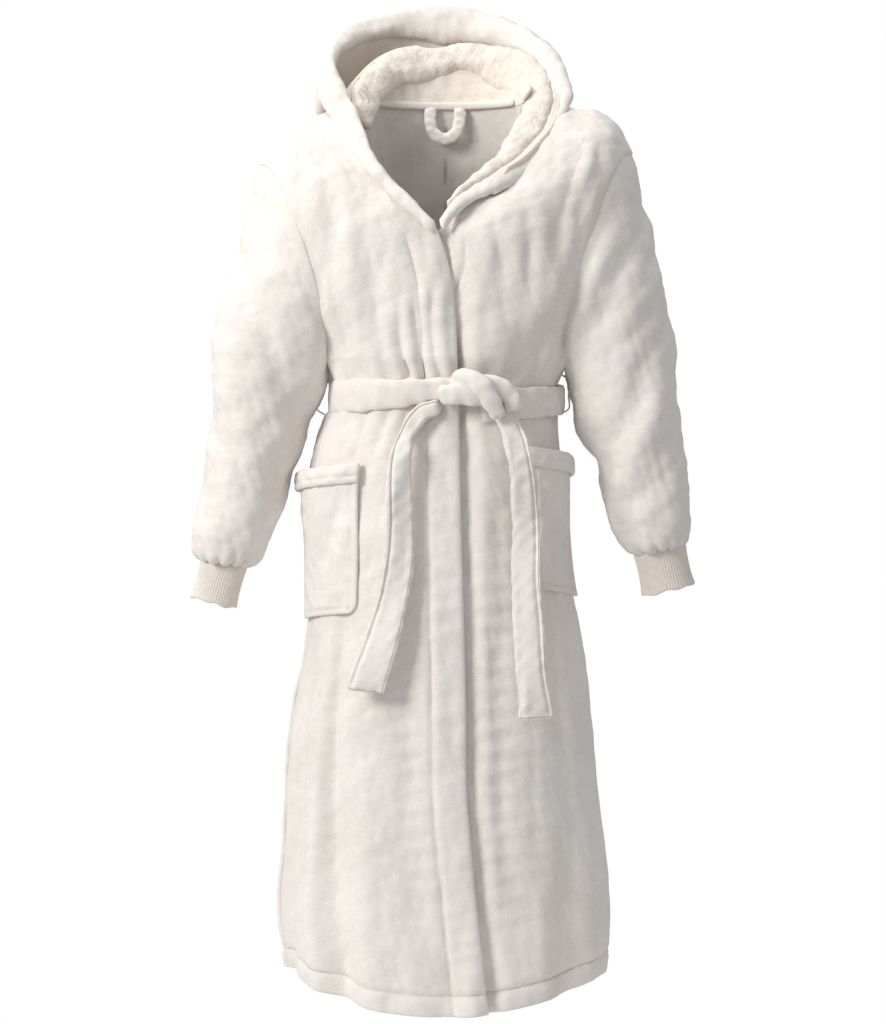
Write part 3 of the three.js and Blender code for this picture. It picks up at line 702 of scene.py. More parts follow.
    def armhole(self, side: Side, t: np.ndarray, face: int) -> np.ndarray:
        """The armhole's seam, from the shoulder (0) to the armpit (1).

        Args:
            side: which arm.
            t: shares of the way.
            face: -1 over the front, 1 over the back.

        Returns:
            Points of the seam.
        """
        out, drop = self.shoulder[side]
        top = np.array([side.value * out, SIDE_Y, -drop])
        low = np.array([side.value * self.armpit_out, SIDE_Y, -self.armpit_drop])
        rise = (top - low) / 2
        outward = np.array([rise[2], 0, -rise[0]]) * side.value / np.linalg.norm(rise)
        turn = math.pi * t
        bow = self.armhole_bow * np.sin(turn) ** 0.8
        line = (top + low) / 2 + np.cos(turn)[:, None] * rise - bow[:, None] * outward
        line[:, 1] += face * self.armhole_half_depth * np.sin(turn)
        return line

    def neckline(self, side: Side, t: np.ndarray) -> np.ndarray:
        """The front neckline, from the neck's side (0) to the crossing (1).

        Args:
            side: which front.
            t: shares of the way.

        Returns:
            Points of the edge, which the hood's rim covers.
        """
        s = side.value
        x, drop = self.crossing
        points = [(s * self.neck_half_width, SIDE_Y, 0.0), (s * 0.116, SIDE_Y - 0.040, -0.058)]
        points += [(s * 0.080, SIDE_Y - 0.082, -0.118), (x + s * 0.030, SIDE_Y - 0.102, -0.166)]
        points += [(x, SIDE_Y - 0.1065, -drop)]
        return through(points, t, even=False)

    def folds(self, grid: np.ndarray) -> np.ndarray:
        """How the cloth of the body folds: gathers at the belt, drapes to the hem and small crumples.

        Args:
            grid: points of the cloth.

        Returns:
            How far each point moves outwards.
        """
        z = grid[..., 2]
        angle = np.arctan2(grid[..., 0], -(grid[..., 1] - SIDE_Y) * 1.4)
        sway = wander(grid, (0.12, 0.12, 0.5), 3)
        up = z + self.belt_drop
        pleat = np.sin(30 * angle + 2.2 * sway + 1.5 * wander(grid, (0.3, 0.3, 0.16), 5))
        pleat += 0.5 * np.sin(17 * angle + 2 * sway + 1)
        uneven = 0.65 + 0.45 * wander(grid, (0.09, 0.09, 0.6), 8)
        above = smooth(up, 0.012, 0.03) * np.exp(-np.maximum(up - 0.02, 0) / 0.075)
        below = smooth(-up, 0.012, 0.03) * np.exp(-np.maximum(-up - 0.02, 0) / 0.055)
        gather = pleat * uneven * (0.0046 * above + 0.0032 * below)
        hang = np.sin(11 * angle + 1.3 * sway + 0.4) + 0.45 * np.sin(19 * angle + 2.1 * sway)
        drape = hang * (0.7 + 0.4 * wander(grid, (0.25, 0.25, 1.5), 12)) * 0.0082 * smooth(-z, 0.50, 1.15)
        pull = wander(grid @ np.array([[1, 0, 0.35], [0, 1, 0], [-0.35, 0, 1]]), (0.05, 0.05, 0.2), 21)
        chest = 0.0030 * pull * smooth(-z, 0.02, 0.12) * smooth(z, -0.45, -0.3)
        crumple = 0.0007 * wander(grid, 0.045, 31) + 0.00045 * wander(grid, 0.02, 32)
        return gather + drape + chest + crumple


def between(
    top: np.ndarray, bottom: np.ndarray, left: np.ndarray, right: np.ndarray, u: np.ndarray, v: np.ndarray
) -> np.ndarray:
    """A surface between four edges that meet at their corners.

    Args:
        top: points of the top edge, one for each u.
        bottom: points of the bottom edge.
        left: points of the left edge, one for each v.
        right: points of the right edge.
        u: shares across.
        v: shares down.

    Returns:
        Rows and columns of points.
    """
    uu, vv = u[None, :, None], v[:, None, None]
    across = left[:, None] * (1 - uu) + right[:, None] * uu
    down = top[None] * (1 - vv) + bottom[None] * vv
    corners = (top[0] * (1 - uu) + top[-1] * uu) * (1 - vv) + (bottom[0] * (1 - uu) + bottom[-1] * uu) * vv
    return across + down - corners


# ---------------------------------------------------------------- panels


@dataclass
class Panels:
    """The back, the two fronts and the bands that face the fronts' edges.

    Attributes:
        form: the shape they hang in.
        columns: steps across a front.
        upper: rows from the shoulder to the armpit.
        lower: rows from the armpit to the hem.
        hem_band: height of the hem's stitching above the hem.
        facing_width: how wide the band behind a front edge is.
        neckline_share: share of the rows above the armpit that run beside the neckline.
    """

    form: BodyForm
    columns: int = 96
    upper: int = 84
    lower: int = 186
    hem_band: float = 0.028
    facing_width: float = 0.045
    neckline_share: float = 0.6

    def front(self, side: Side, u: np.ndarray, h: np.ndarray) -> np.ndarray:
        """The unfolded surface of a front.

        Args:
            side: which front.
            u: shares from the front edge to the side.
            h: 0 at the shoulder, 1 at the armpit, 2 at the hem.

        Returns:
            Rows and columns of points.
        """
        form = self.form
        quarter = side.value * math.pi / 2
        armpit = -form.armpit_drop

        def edge_x(z: np.ndarray) -> np.ndarray:
            """Sideways place of this front's own edge."""
            if side is Side.RIGHT:
                return form.front_edge(z)
            return form.front_edge(z) - form.underlap * smooth(-z, form.crossing[1], form.armpit_drop)

        v = h[h <= 1]
        level = np.full(u.shape, armpit)
        edge_angle = form.angle_at(edge_x(level[:1]), level[:1])[0]
        bottom = form.point(edge_angle + u * (quarter - edge_angle), level)
        low = np.clip((v - self.neckline_share) / (1 - self.neckline_share), 0, 1)
        z = -form.crossing[1] + low * (armpit + form.crossing[1])
        left = form.neckline(side, np.clip(v / self.neckline_share, 0, 1))
        y = left[-1, 1] + low * (bottom[0, 1] - left[-1, 1])
        below = v > self.neckline_share
        left[below] = np.stack([edge_x(z), y, z], axis=-1)[below]
        right = form.armhole(side, v, -1)
        top = form.shoulder_line(side, u)
        left[0], left[-1] = top[0], bottom[0]
        right[0], right[-1] = top[-1], bottom[-1]
        high = between(top, bottom, left, right, u, v)
        w = h[h > 1] - 1
        z0 = armpit + w * (form.hem(np.zeros(1)) - armpit)
        start = form.angle_at(edge_x(z0), z0)[:, None]
        angle = start + u[None] * (quarter - start)
        heights = armpit + w[:, None] * (form.hem(angle) - armpit)
        return np.concatenate([high, form.point(angle, heights)])

    def back(self, u: np.ndarray, h: np.ndarray) -> np.ndarray:
        """The unfolded surface of the back.

        Args:
            u: shares from the right side to the left side.
            h: 0 at the neck and shoulders, 1 at the armpit, 2 at the hem.

        Returns:
            Rows and columns of points.
        """
        form = self.form
        neck_share = 0.42
        armpit = -form.armpit_drop
        halves = []
        for side in (Side.RIGHT, Side.LEFT):
            share = np.abs(2 * u[u <= 0.5] - 1) if side is Side.RIGHT else np.abs(2 * u[u > 0.5] - 1)
            order = np.argsort(share)
            t = share[order]
            turn = math.pi / 2 * np.clip(t / neck_share, 0, 1)
            arc_x = side.value * form.neck_half_width * np.sin(turn)
            arc_y = SIDE_Y + form.neck_half_depth * np.cos(turn)
            arc = np.stack([arc_x, arc_y, 0 * t], axis=-1)
            past = np.clip((t - neck_share) / (1 - neck_share), 0, 1)
            top = np.where((t > neck_share)[:, None], form.shoulder_line(side, past), arc)
            angle = math.pi - side.value * t * math.pi / 2
            bottom = form.point(angle, np.full(t.shape, armpit))
            v = h[h <= 1]
            further = bottom[0, 1] - SIDE_Y - form.neck_half_depth
            deep = form.neck_half_depth + further * np.sin(v * math.pi / 2)
            spine = np.stack([0 * v, SIDE_Y + deep, v * armpit], axis=-1)
            high = between(top, bottom, spine, form.armhole(side, v, 1), t, v)
            w = h[h > 1, None] - 1
            angles = np.broadcast_to(angle, (len(w), len(t)))
            heights = armpit + w * (form.hem(angles) - armpit)
            half = np.concatenate([high, form.point(angles, heights)])
            halves.append(half[:, np.argsort(order)])
        whole = np.concatenate(halves, axis=1)
        weights = np.hanning(19) / np.hanning(19).sum()
        eased = np.stack([np.convolve(row, weights, "same") for row in whole[..., 1]])
        whole[..., 1] += bump(u, 0.5, 0.05)[None] * (eased - whole[..., 1])
        return whole

    def rows(self) -> np.ndarray:
        """Shares down a panel, with fine ones at its edges and at the hem's stitching.

        Returns:
            Rising values from 0 at the shoulder to 2 at the hem.
        """
        reach = HEM_DROP - self.form.armpit_drop
        high = np.linspace(0, 1, self.upper + 1)[1:]
        top = EDGE_STEPS * CLOTH / 2 / self.form.armpit_drop
        low = 1 + np.linspace(0, 1, self.lower + 1)[1:-2]
        stitch = 2 - (self.hem_band + np.linspace(-0.006, 0.006, 7)) / reach
        end = 2 - EDGE_STEPS[::-1] * CLOTH / 2 / reach
        return np.unique(np.concatenate([top, high, low, stitch, end]))

    def hem_stitch(self, grid: np.ndarray) -> np.ndarray:
        """The groove of the hem's stitching, with the small swell of the turned-up cloth below it.

        Args:
            grid: points of the cloth.

        Returns:
            How far each point moves outwards.
        """
        down = lengths(grid, 0)
        left = down[-1:] - down
        return -0.0028 * bump(left, self.hem_band, 0.004) + 0.0016 * smooth(-left, -self.hem_band, -0.016)

    def edge_band(self, grid: np.ndarray) -> np.ndarray:
        """The stitched band along a front edge: a fine groove, a swell and crosswise puckers.

        Args:
            grid: points of the cloth, with the front edge in the first column.

        Returns:
            How far each point moves outwards.
        """
        across = lengths(grid, 1)
        z = grid[..., 2]
        on = smooth(-z, self.form.crossing[1], self.form.crossing[1] + 0.03)
        inside = smooth(-across, -self.facing_width, -0.038) * smooth(across, 0.0, 0.008)
        uneven = 2.4 * wander(grid, (0.2, 0.2, 0.11), 41)
        ripple = np.sin(2 * math.pi * (z + 0.25 * across) / 0.031 + uneven)
        strength = 0.5 + 0.5 * wander(grid, (0.5, 0.5, 0.14), 43)
        groove = -0.0030 * bump(across, self.facing_width, 0.0040)
        return on * (groove + inside * (0.0016 + 0.0009 * np.clip(strength, 0, 1.3) * ripple))

    def sink(self, grid: np.ndarray) -> np.ndarray:
        """Lays the lower front in under the upper one.

        Args:
            grid: points of the lower front.

        Returns:
            The points, moved back where the upper front covers them.
        """
        z = grid[..., 2]
        past = self.form.front_edge(np.minimum(z, -self.form.crossing[1])) + 0.032 - grid[..., 0]
        below = smooth(-z, 0.55 * self.form.crossing[1], self.form.crossing[1])
        out = grid.copy()
        out[..., 1] += 0.0135 * below * smooth(past, 0, 0.030)
        return out

    def build(self) -> None:
        """Builds the panels and the facing bands and puts them on the robe's body."""
        form = self.form
        h = self.rows()
        for side in Side:
            u = spaced(self.columns, 0.30)
            plain = self.front(side, u, h)
            if side is Side.LEFT:
                plain = self.sink(plain)
            centre = axis_beside(plain, -0.2)
            out = normals(plain, centre)
            edge = smooth(lengths(plain, 1), 0.0, 0.02)
            seam = 1 - smooth(u, 0.9, 1.0)[None] * 0.6
            amount = form.folds(plain) * (0.35 + 0.65 * edge) * seam + self.hem_stitch(plain)
            amount = amount + self.edge_band(plain) + self.placed_folds(side, plain)
            grid = plain + out * amount[..., None]
            made = cloth(f"front_{side.name.lower()}", grid, normals(grid, centre), CLOTH, PLUSH)
            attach(made, "robe")
            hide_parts(f"{side.name.lower()}_front_panel")
            declare(made, plain, ["belt_waist"])
            self.facing(side, grid, normals(grid, centre), h)
        u = np.unique(np.concatenate([spaced(150, 0.55), [0.5]]))
        plain = self.back(u, h)
        centre = axis_beside(plain, -0.2)
        out = normals(plain, centre)
        grid = plain + out * (form.folds(plain) + self.hem_stitch(plain))[..., None]
        made = cloth("back", grid, normals(grid, centre), CLOTH, PLUSH)
        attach(made, "robe")
        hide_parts("back_panel")
        declare(made, plain, ["belt_waist"])

    def placed_folds(self, side: Side, grid: np.ndarray) -> np.ndarray:
        """The larger folds that lie in a front, from the neck and armhole and down the skirt.

        Args:
            side: which front.
            grid: points of the front.

        Returns:
            How far each point moves outwards.
        """
        if side is Side.RIGHT:
            lines = [
                ([(-0.165, -0.07), (-0.152, -0.18), (-0.146, -0.30)], 0.0055, 0.016),
                ([(-0.190, -0.08), (-0.196, -0.14), (-0.186, -0.22)], 0.0045, 0.012),
                ([(-0.118, -0.14), (-0.105, -0.24), (-0.085, -0.36)], 0.0040, 0.014),
                ([(-0.050, -0.22), (-0.040, -0.30), (-0.022, -0.38)], 0.0035, 0.010),
                ([(-0.148, -0.47), (-0.110, -0.53), (-0.085, -0.60)], 0.0035, 0.014),
                ([(-0.046, -0.56), (-0.052, -0.85), (-0.034, -1.16)], 0.0065, 0.020),
                ([(-0.110, -0.84), (-0.120, -1.00), (-0.100, -1.18)], 0.0045, 0.020),
                ([(-0.165, -0.76), (-0.168, -0.95), (-0.178, -1.12)], 0.0060, 0.022),
            ]
        else:
            lines = [
                ([(0.055, -0.15), (0.078, -0.25), (0.070, -0.37)], 0.0050, 0.013),
                ([(0.108, -0.12), (0.116, -0.24), (0.112, -0.37)], 0.0055, 0.013),
                ([(0.190, -0.06), (0.164, -0.15), (0.146, -0.27)], 0.0065, 0.014),
                ([(0.215, -0.07), (0.200, -0.12), (0.178, -0.18)], 0.0050, 0.010),
                ([(0.074, -0.54), (0.070, -0.80), (0.086, -1.18)], 0.0075, 0.021),
                ([(0.138, -0.72), (0.132, -0.92), (0.146, -1.17)], 0.0070, 0.022),
                ([(0.185, -0.80), (0.186, -0.95), (0.196, -1.10)], 0.0045, 0.018),
            ]
        return sum(crease(grid, line, depth, width) for line, depth, width in lines)

    def facing(self, side: Side, grid: np.ndarray, out: np.ndarray, h: np.ndarray) -> None:
        """Builds the band behind a front's edge, from the crossing to the hem.

        Args:
            side: which front.
            grid: the front's folded points.
            out: their normals.
            h: the shares down the front's rows.
        """
        across = lengths(grid, 1)[h > self.neckline_share + 0.1]
        rows = grid[h > self.neckline_share + 0.1]
        ways = out[h > self.neckline_share + 0.1]
        thin = 0.0025
        inset = CLOTH / 2 + thin / 2 - 0.0004
        spots = 0.002 + (self.facing_width - 0.002) * spaced(12, self.facing_width, thin / 2)
        band = np.empty((len(rows), len(spots), 3))
        for r, (row, way, far) in enumerate(zip(rows, ways, across)):
            for k in range(3):
                band[r, :, k] = np.interp(spots, far, row[:, k] - way[:, k] * inset)
        band = band[4:-2]
        made = cloth(f"facing_{side.name.lower()}", band, normals(band, axis_beside(band)), thin, PLUSH)
        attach(made, "robe")
        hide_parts(f"{side.name.lower()}_front_facing")
        declare(made, band, [f"front_{side.name.lower()}"])


# ---------------------------------------------------------------- sleeves


@dataclass
class Sleeve:
    """A full sleeve that blouses over a rib-knit cuff.

    Attributes:
        form: the body's form, whose armhole it is sewn to.
        side: which arm.
        outer: sideways places and drops down the outside of the sleeve, below the shoulder.
        inner: the same down the inside, below the armpit.
        depths: half depth, front to back, at each of them.
        cuff_end: sideways place and drop of the middle of the cuff's end.
        cuff_half_width: half width of the cuff at its end.
        ribs: how many ribs go round the cuff.
    """

    form: BodyForm
    side: Side
    outer: list
    inner: list
    depths: tuple = (0.080, 0.078, 0.075, 0.071, 0.067, 0.062, 0.055, 0.045, 0.031)
    cuff_end: tuple = (0.3185, 0.6935)
    cuff_half_width: float = 0.0275
    ribs: int = 56

    def plain(self, s: np.ndarray, angle: np.ndarray) -> np.ndarray:
        """The unfolded surface of the sleeve.

        Args:
            s: shares down the sleeve.
            angle: turns round it, 0 at the outside and a quarter turn at the front.

        Returns:
            Rows and columns of points.
        """
        form, way = self.form, self.side.value
        top = form.shoulder[self.side]
        out = through([top] + self.outer, s)
        into = through([(form.armpit_out, form.armpit_drop)] + self.inner, s)
        deep = through(self.depths, s)[:, 0]
        drift = 0.018 * smooth(s, 0.1, 0.9)
        middle, half = (out + into) / 2, (out - into) / 2
        flat = middle[:, None] + half[:, None] * np.cos(angle)[None, :, None]
        y = SIDE_Y - drift[:, None] - deep[:, None] * np.sin(angle)[None]
        grid = np.stack([way * flat[..., 0], y, -flat[..., 1]], axis=-1)
        bow = form.armhole_bow * np.abs(np.sin(angle)) ** 0.8
        fade = 1 - smooth(s, 0, 0.34)
        outward = self.outward()
        tucked = 0.0028 * (1 - smooth(s, 0, 0.02))
        return grid - (fade[:, None] * bow[None] + tucked[:, None])[..., None] * outward

    def outward(self) -> np.ndarray:
        """The direction that points out of the armhole, along the arm.

        Returns:
            A unit vector.
        """
        out, drop = self.form.shoulder[self.side]
        rise = np.array([self.side.value * (out - self.form.armpit_out), 0, self.form.armpit_drop - drop])
        way = np.array([rise[2], 0, -rise[0]]) * self.side.value
        return way / np.linalg.norm(way)

    def folds(self, grid: np.ndarray, s: np.ndarray, angle: np.ndarray) -> np.ndarray:
        """How the sleeve folds: drags from the armhole, slack at the elbow, bunching over the cuff.

        Args:
            grid: points of the sleeve.
            s: shares down it.
            angle: turns round it.

        Returns:
            How far each point moves outwards.
        """
        way = self.side.value
        lean = grid @ np.array([[1, 0, 0.5 * way], [0, 1, 0], [-0.5 * way, 0, 1]])
        held = smooth(s, 0.0, 0.06)[:, None]
        drawn = (smooth(s, 0, 0.1) - 0.5 * smooth(s, 0.5, 0.8))[:, None]
        drags = 0.0030 * wander(lean, (0.070, 0.070, 0.36), 51 + way) * drawn
        slack = 0.0020 * wander(grid, (0.20, 0.14, 0.09), 55 + way) * bump(s, 0.62, 0.22)[:, None]
        turns = 13 * angle[None] + 2.0 * wander(grid, (0.1, 0.1, 0.3), 57 + way)
        low = smooth(s, 0.80, 0.95) * (1 - 0.25 * smooth(s, 0.97, 1))
        bunch = 0.0022 * np.sin(turns) * low[:, None]
        crumple = 0.0009 * wander(grid, 0.045, 61) + 0.0005 * wander(grid, 0.02, 62)
        return held * (drags + slack + bunch + crumple)

    def build(self) -> None:
        """Builds the sleeve and its cuff, and lets the cuff follow the arm."""
        name = self.side.name.lower()
        s = spaced(150, 0.60)
        angle = np.linspace(0, 2 * math.pi, 132, endpoint=False)
        plain = self.plain(s, angle)
        out = ring_normals(plain)
        grid = plain + out * self.folds(plain, s, angle)[..., None]
        made = cloth(f"sleeve_{name}", grid, ring_normals(grid), CLOTH, PLUSH, True)
        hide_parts(f"{name}_sleeve")
        declare(made, np.concatenate([plain, plain[:, :1]], axis=1), [f"front_{name}"])
        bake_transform(made)
        self.cuff(grid[-1])

    def cuff(self, wrist: np.ndarray) -> None:
        """Builds the rib-knit cuff, whose ribs are real ridges.

        Args:
            wrist: the sleeve's last ring of points.
        """
        name, way = self.side.name.lower(), self.side.value
        top = wrist.mean(axis=0)
        end = np.array([way * self.cuff_end[0], top[1], -self.cuff_end[1]])
        axis = (end - top) / np.linalg.norm(end - top)
        across = np.cross(axis, [0, 1, 0])
        across /= np.linalg.norm(across)
        depth = np.array([0, 1, 0])
        t = np.concatenate([[-0.10], spaced(26, 0.058, 0.0025)])
        angle = np.linspace(0, 2 * math.pi, self.ribs * 8, endpoint=False)
        shape = [(-0.2, 0.94), (0, 0.99), (0.25, 0.96), (0.8, 0.98), (1, 1.03)]
        radius = profile(shape, t) * self.cuff_half_width
        wide = (radius[:, None] + 0.0025)[..., None] * np.cos(angle)[None, :, None] * across
        deep = (0.88 * radius[:, None])[..., None] * np.sin(angle)[None, :, None] * depth
        plain = top + (end - top) * t[:, None, None] + wide + deep
        plain = plain + axis * (0.0012 * wander(plain, 0.03, 71) * smooth(t, 0.6, 1)[:, None])[..., None]
        out = ring_normals(plain)
        grid = plain + out * (0.00035 * np.cos(self.ribs * angle))[None, :, None]
        made = cloth(f"cuff_{name}", grid, out, 0.0045, RIB, True)
        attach(made, f"{name}_arm")
        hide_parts(f"{name}_cuff")
        declare(made, np.concatenate([plain, plain[:, :1]], axis=1), [f"sleeve_{name}"])


# ---------------------------------------------------------------- hood


@dataclass
class Hood:
    """The hood, lying down behind the neck, with its rim folded out over the neckline.

    Every outline is a list of (x, how far behind the side seams, z), from the crossing up the wearer's
    right side, round the back and down the left side.

    Attributes:
        form: the body's form.
        rim_inner: the rim's inner edge.
        rim_outer: its outer edge.
        lining_inner: lower edge of the fleecy roll inside the neck.
        lining_outer: its upper edge.
    """

    form: BodyForm
    rim_inner: list
    rim_outer: list
    lining_inner: list
    lining_outer: list

    @staticmethod
    def line(points: list, t: np.ndarray) -> np.ndarray:
        """Reads one of the outlines.

        Args:
            points: the outline.
            t: shares of the way.

        Returns:
            Points of the outline.
        """
        return through(points, t) + [0, SIDE_Y, 0]

    def follow(self, made: bpy.types.Object) -> None:
        """Bakes a piece's placement into its points.

        Args:
            made: the piece.
        """
        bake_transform(made)

    @staticmethod
    def roll_with_pile(
        inner: np.ndarray, outer: np.ndarray, thick: np.ndarray, sides: int, lumps: float, seed: int
    ) -> np.ndarray:
        """A roll of plush between two edges, with its surface made lumpy.

        Args:
            inner: points of one edge.
            outer: points of the other.
            thick: thickness at each.
            sides: points to a ring.
            lumps: how far the surface rises and falls.
            seed: picks the pattern.

        Returns:
            Rings of points.
        """
        rings = roll(inner, outer, thick, sides, 0.85)
        out = ring_normals(rings)
        amount = lumps * (wander(rings, 0.045, seed) + 0.45 * wander(rings, 0.017, seed + 1))
        ends = np.ones(len(rings))
        ends[[0, 1, 2, -3, -2, -1]] = 0
        return rings + out * (amount * ends[:, None])[..., None]

    def build(self) -> None:
        """Builds the rim, the lining roll, the hood's wall and the band behind the neck."""
        t = spaced(330, 1.15, 0.010)
        inner, outer = self.line(self.rim_inner, t), self.line(self.rim_outer, t)
        back = np.clip((inner[:, 1] - SIDE_Y) / 0.13, 0, 1)
        thick = 0.015 + 0.015 * back
        rings = self.roll_with_pile(inner, outer, thick, 44, 0.0011, 81)
        made = solid("hood_rim", rings, PLUSH)
        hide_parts("hood_rim_right", "hood_rim_left", "right_lapel", "left_lapel")
        self.follow(made)
        inner, outer = self.line(self.lining_inner, t), self.line(self.lining_outer, t)
        back = np.clip((inner[:, 1] - SIDE_Y) / 0.07, 0, 1)
        rings = self.roll_with_pile(inner, outer, 0.018 + 0.012 * back, 44, 0.0014, 85)
        made = solid("hood_lining", rings, LINING)
        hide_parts("hood_lining_right", "hood_lining_left")
        self.follow(made)
        self.wall()

    def wall(self) -> None:
        """Builds the hood's cloth: from the fleecy roll down into the bag behind and up to the rim."""
        t = np.linspace(0.0, 0.86, 190)
        near = self.line(self.lining_outer, t)
        low = self.line(self.rim_inner, 0.19 + 0.81 * t)
        far = low + 0.45 * (self.line(self.rim_outer, 0.19 + 0.81 * t) - low)
        back = np.clip((near[:, 1] - SIDE_Y) / 0.086, 0, 1)[:, None] ** 1.4
        outward = (far - [0, SIDE_Y - 0.02, 0]) * [1, 1, 0]
        outward /= np.linalg.norm(outward, axis=1, keepdims=True)
        down = np.array([0, 0, -1.0])
        middle = (near + far) / 2
        stops = [
            near,
            near + outward * (0.006 + 0.010 * back) + down * 0.045 * back,
            near + outward * (0.010 + 0.018 * back) + down * 0.150 * back,
            middle + outward * (0.006 + 0.024 * back) + down * (0.004 + 0.215 * back),
            far + outward * (0.006 + 0.022 * back) + down * (0.012 + 0.185 * back),
            far + outward * (0.006 + 0.014 * back) + down * (0.010 + 0.080 * back),
            far,
        ]
        v = spaced(84, 0.42, 0.003)
        grid = np.stack([through([stop[k] for stop in stops], v) for k in range(len(t))], axis=1)
        inside = middle.mean(axis=0) + [0, -0.02, 0.20]
        out = normals(grid, inside)
        free = smooth(v, 0.05, 0.3)[:, None] * smooth(-v, -1.0, -0.8)[:, None] * back.T
        amount = free * (0.0050 * wander(grid, (0.07, 0.07, 0.16), 91) + 0.001 * wander(grid, 0.03, 92))
        plain = grid
        grid = plain + out * amount[..., None]
        # The hood's wall is coloured with painted warm shade.
        made = cloth("hood_wall", grid, normals(grid, inside), 0.006, PLUSH_IN_PAINTED_SHADE)
        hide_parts("hood_right_half", "hood_left_half")
        declare(made, plain, ["back"])
        self.follow(made)
        self.stand()

    def stand(self) -> None:
        """Builds the low band that stands up from the back of the neck seam, behind the fleecy roll."""
        turn = np.linspace(-0.03, 1.03, 150) * math.pi
        v = spaced(20, 0.06, 0.003)[:, None]
        reach = -0.0045 + 0.012 * v**2
        tall = -0.006 + 0.062 * v * (0.35 + 0.65 * np.clip(np.sin(turn), 0, 1))
        x = -(self.form.neck_half_width + reach) * np.cos(turn)
        y = SIDE_Y + (self.form.neck_half_depth + reach) * np.sin(turn)
        grid = np.stack([x, y, tall + 0 * x], axis=-1)
        inside = np.array([0, SIDE_Y, 0])
        out = normals(grid, inside)
        plain = grid
        grid = plain + out * (0.0007 * wander(grid, 0.03, 95))[..., None]
        # The band is coloured with painted warm shade.
        made = cloth("hood_stand", grid, normals(grid, inside), 0.005, PLUSH_IN_PAINTED_SHADE)
        declare(made, plain, ["back"])
        self.follow(made)


# ---------------------------------------------------------------- belt


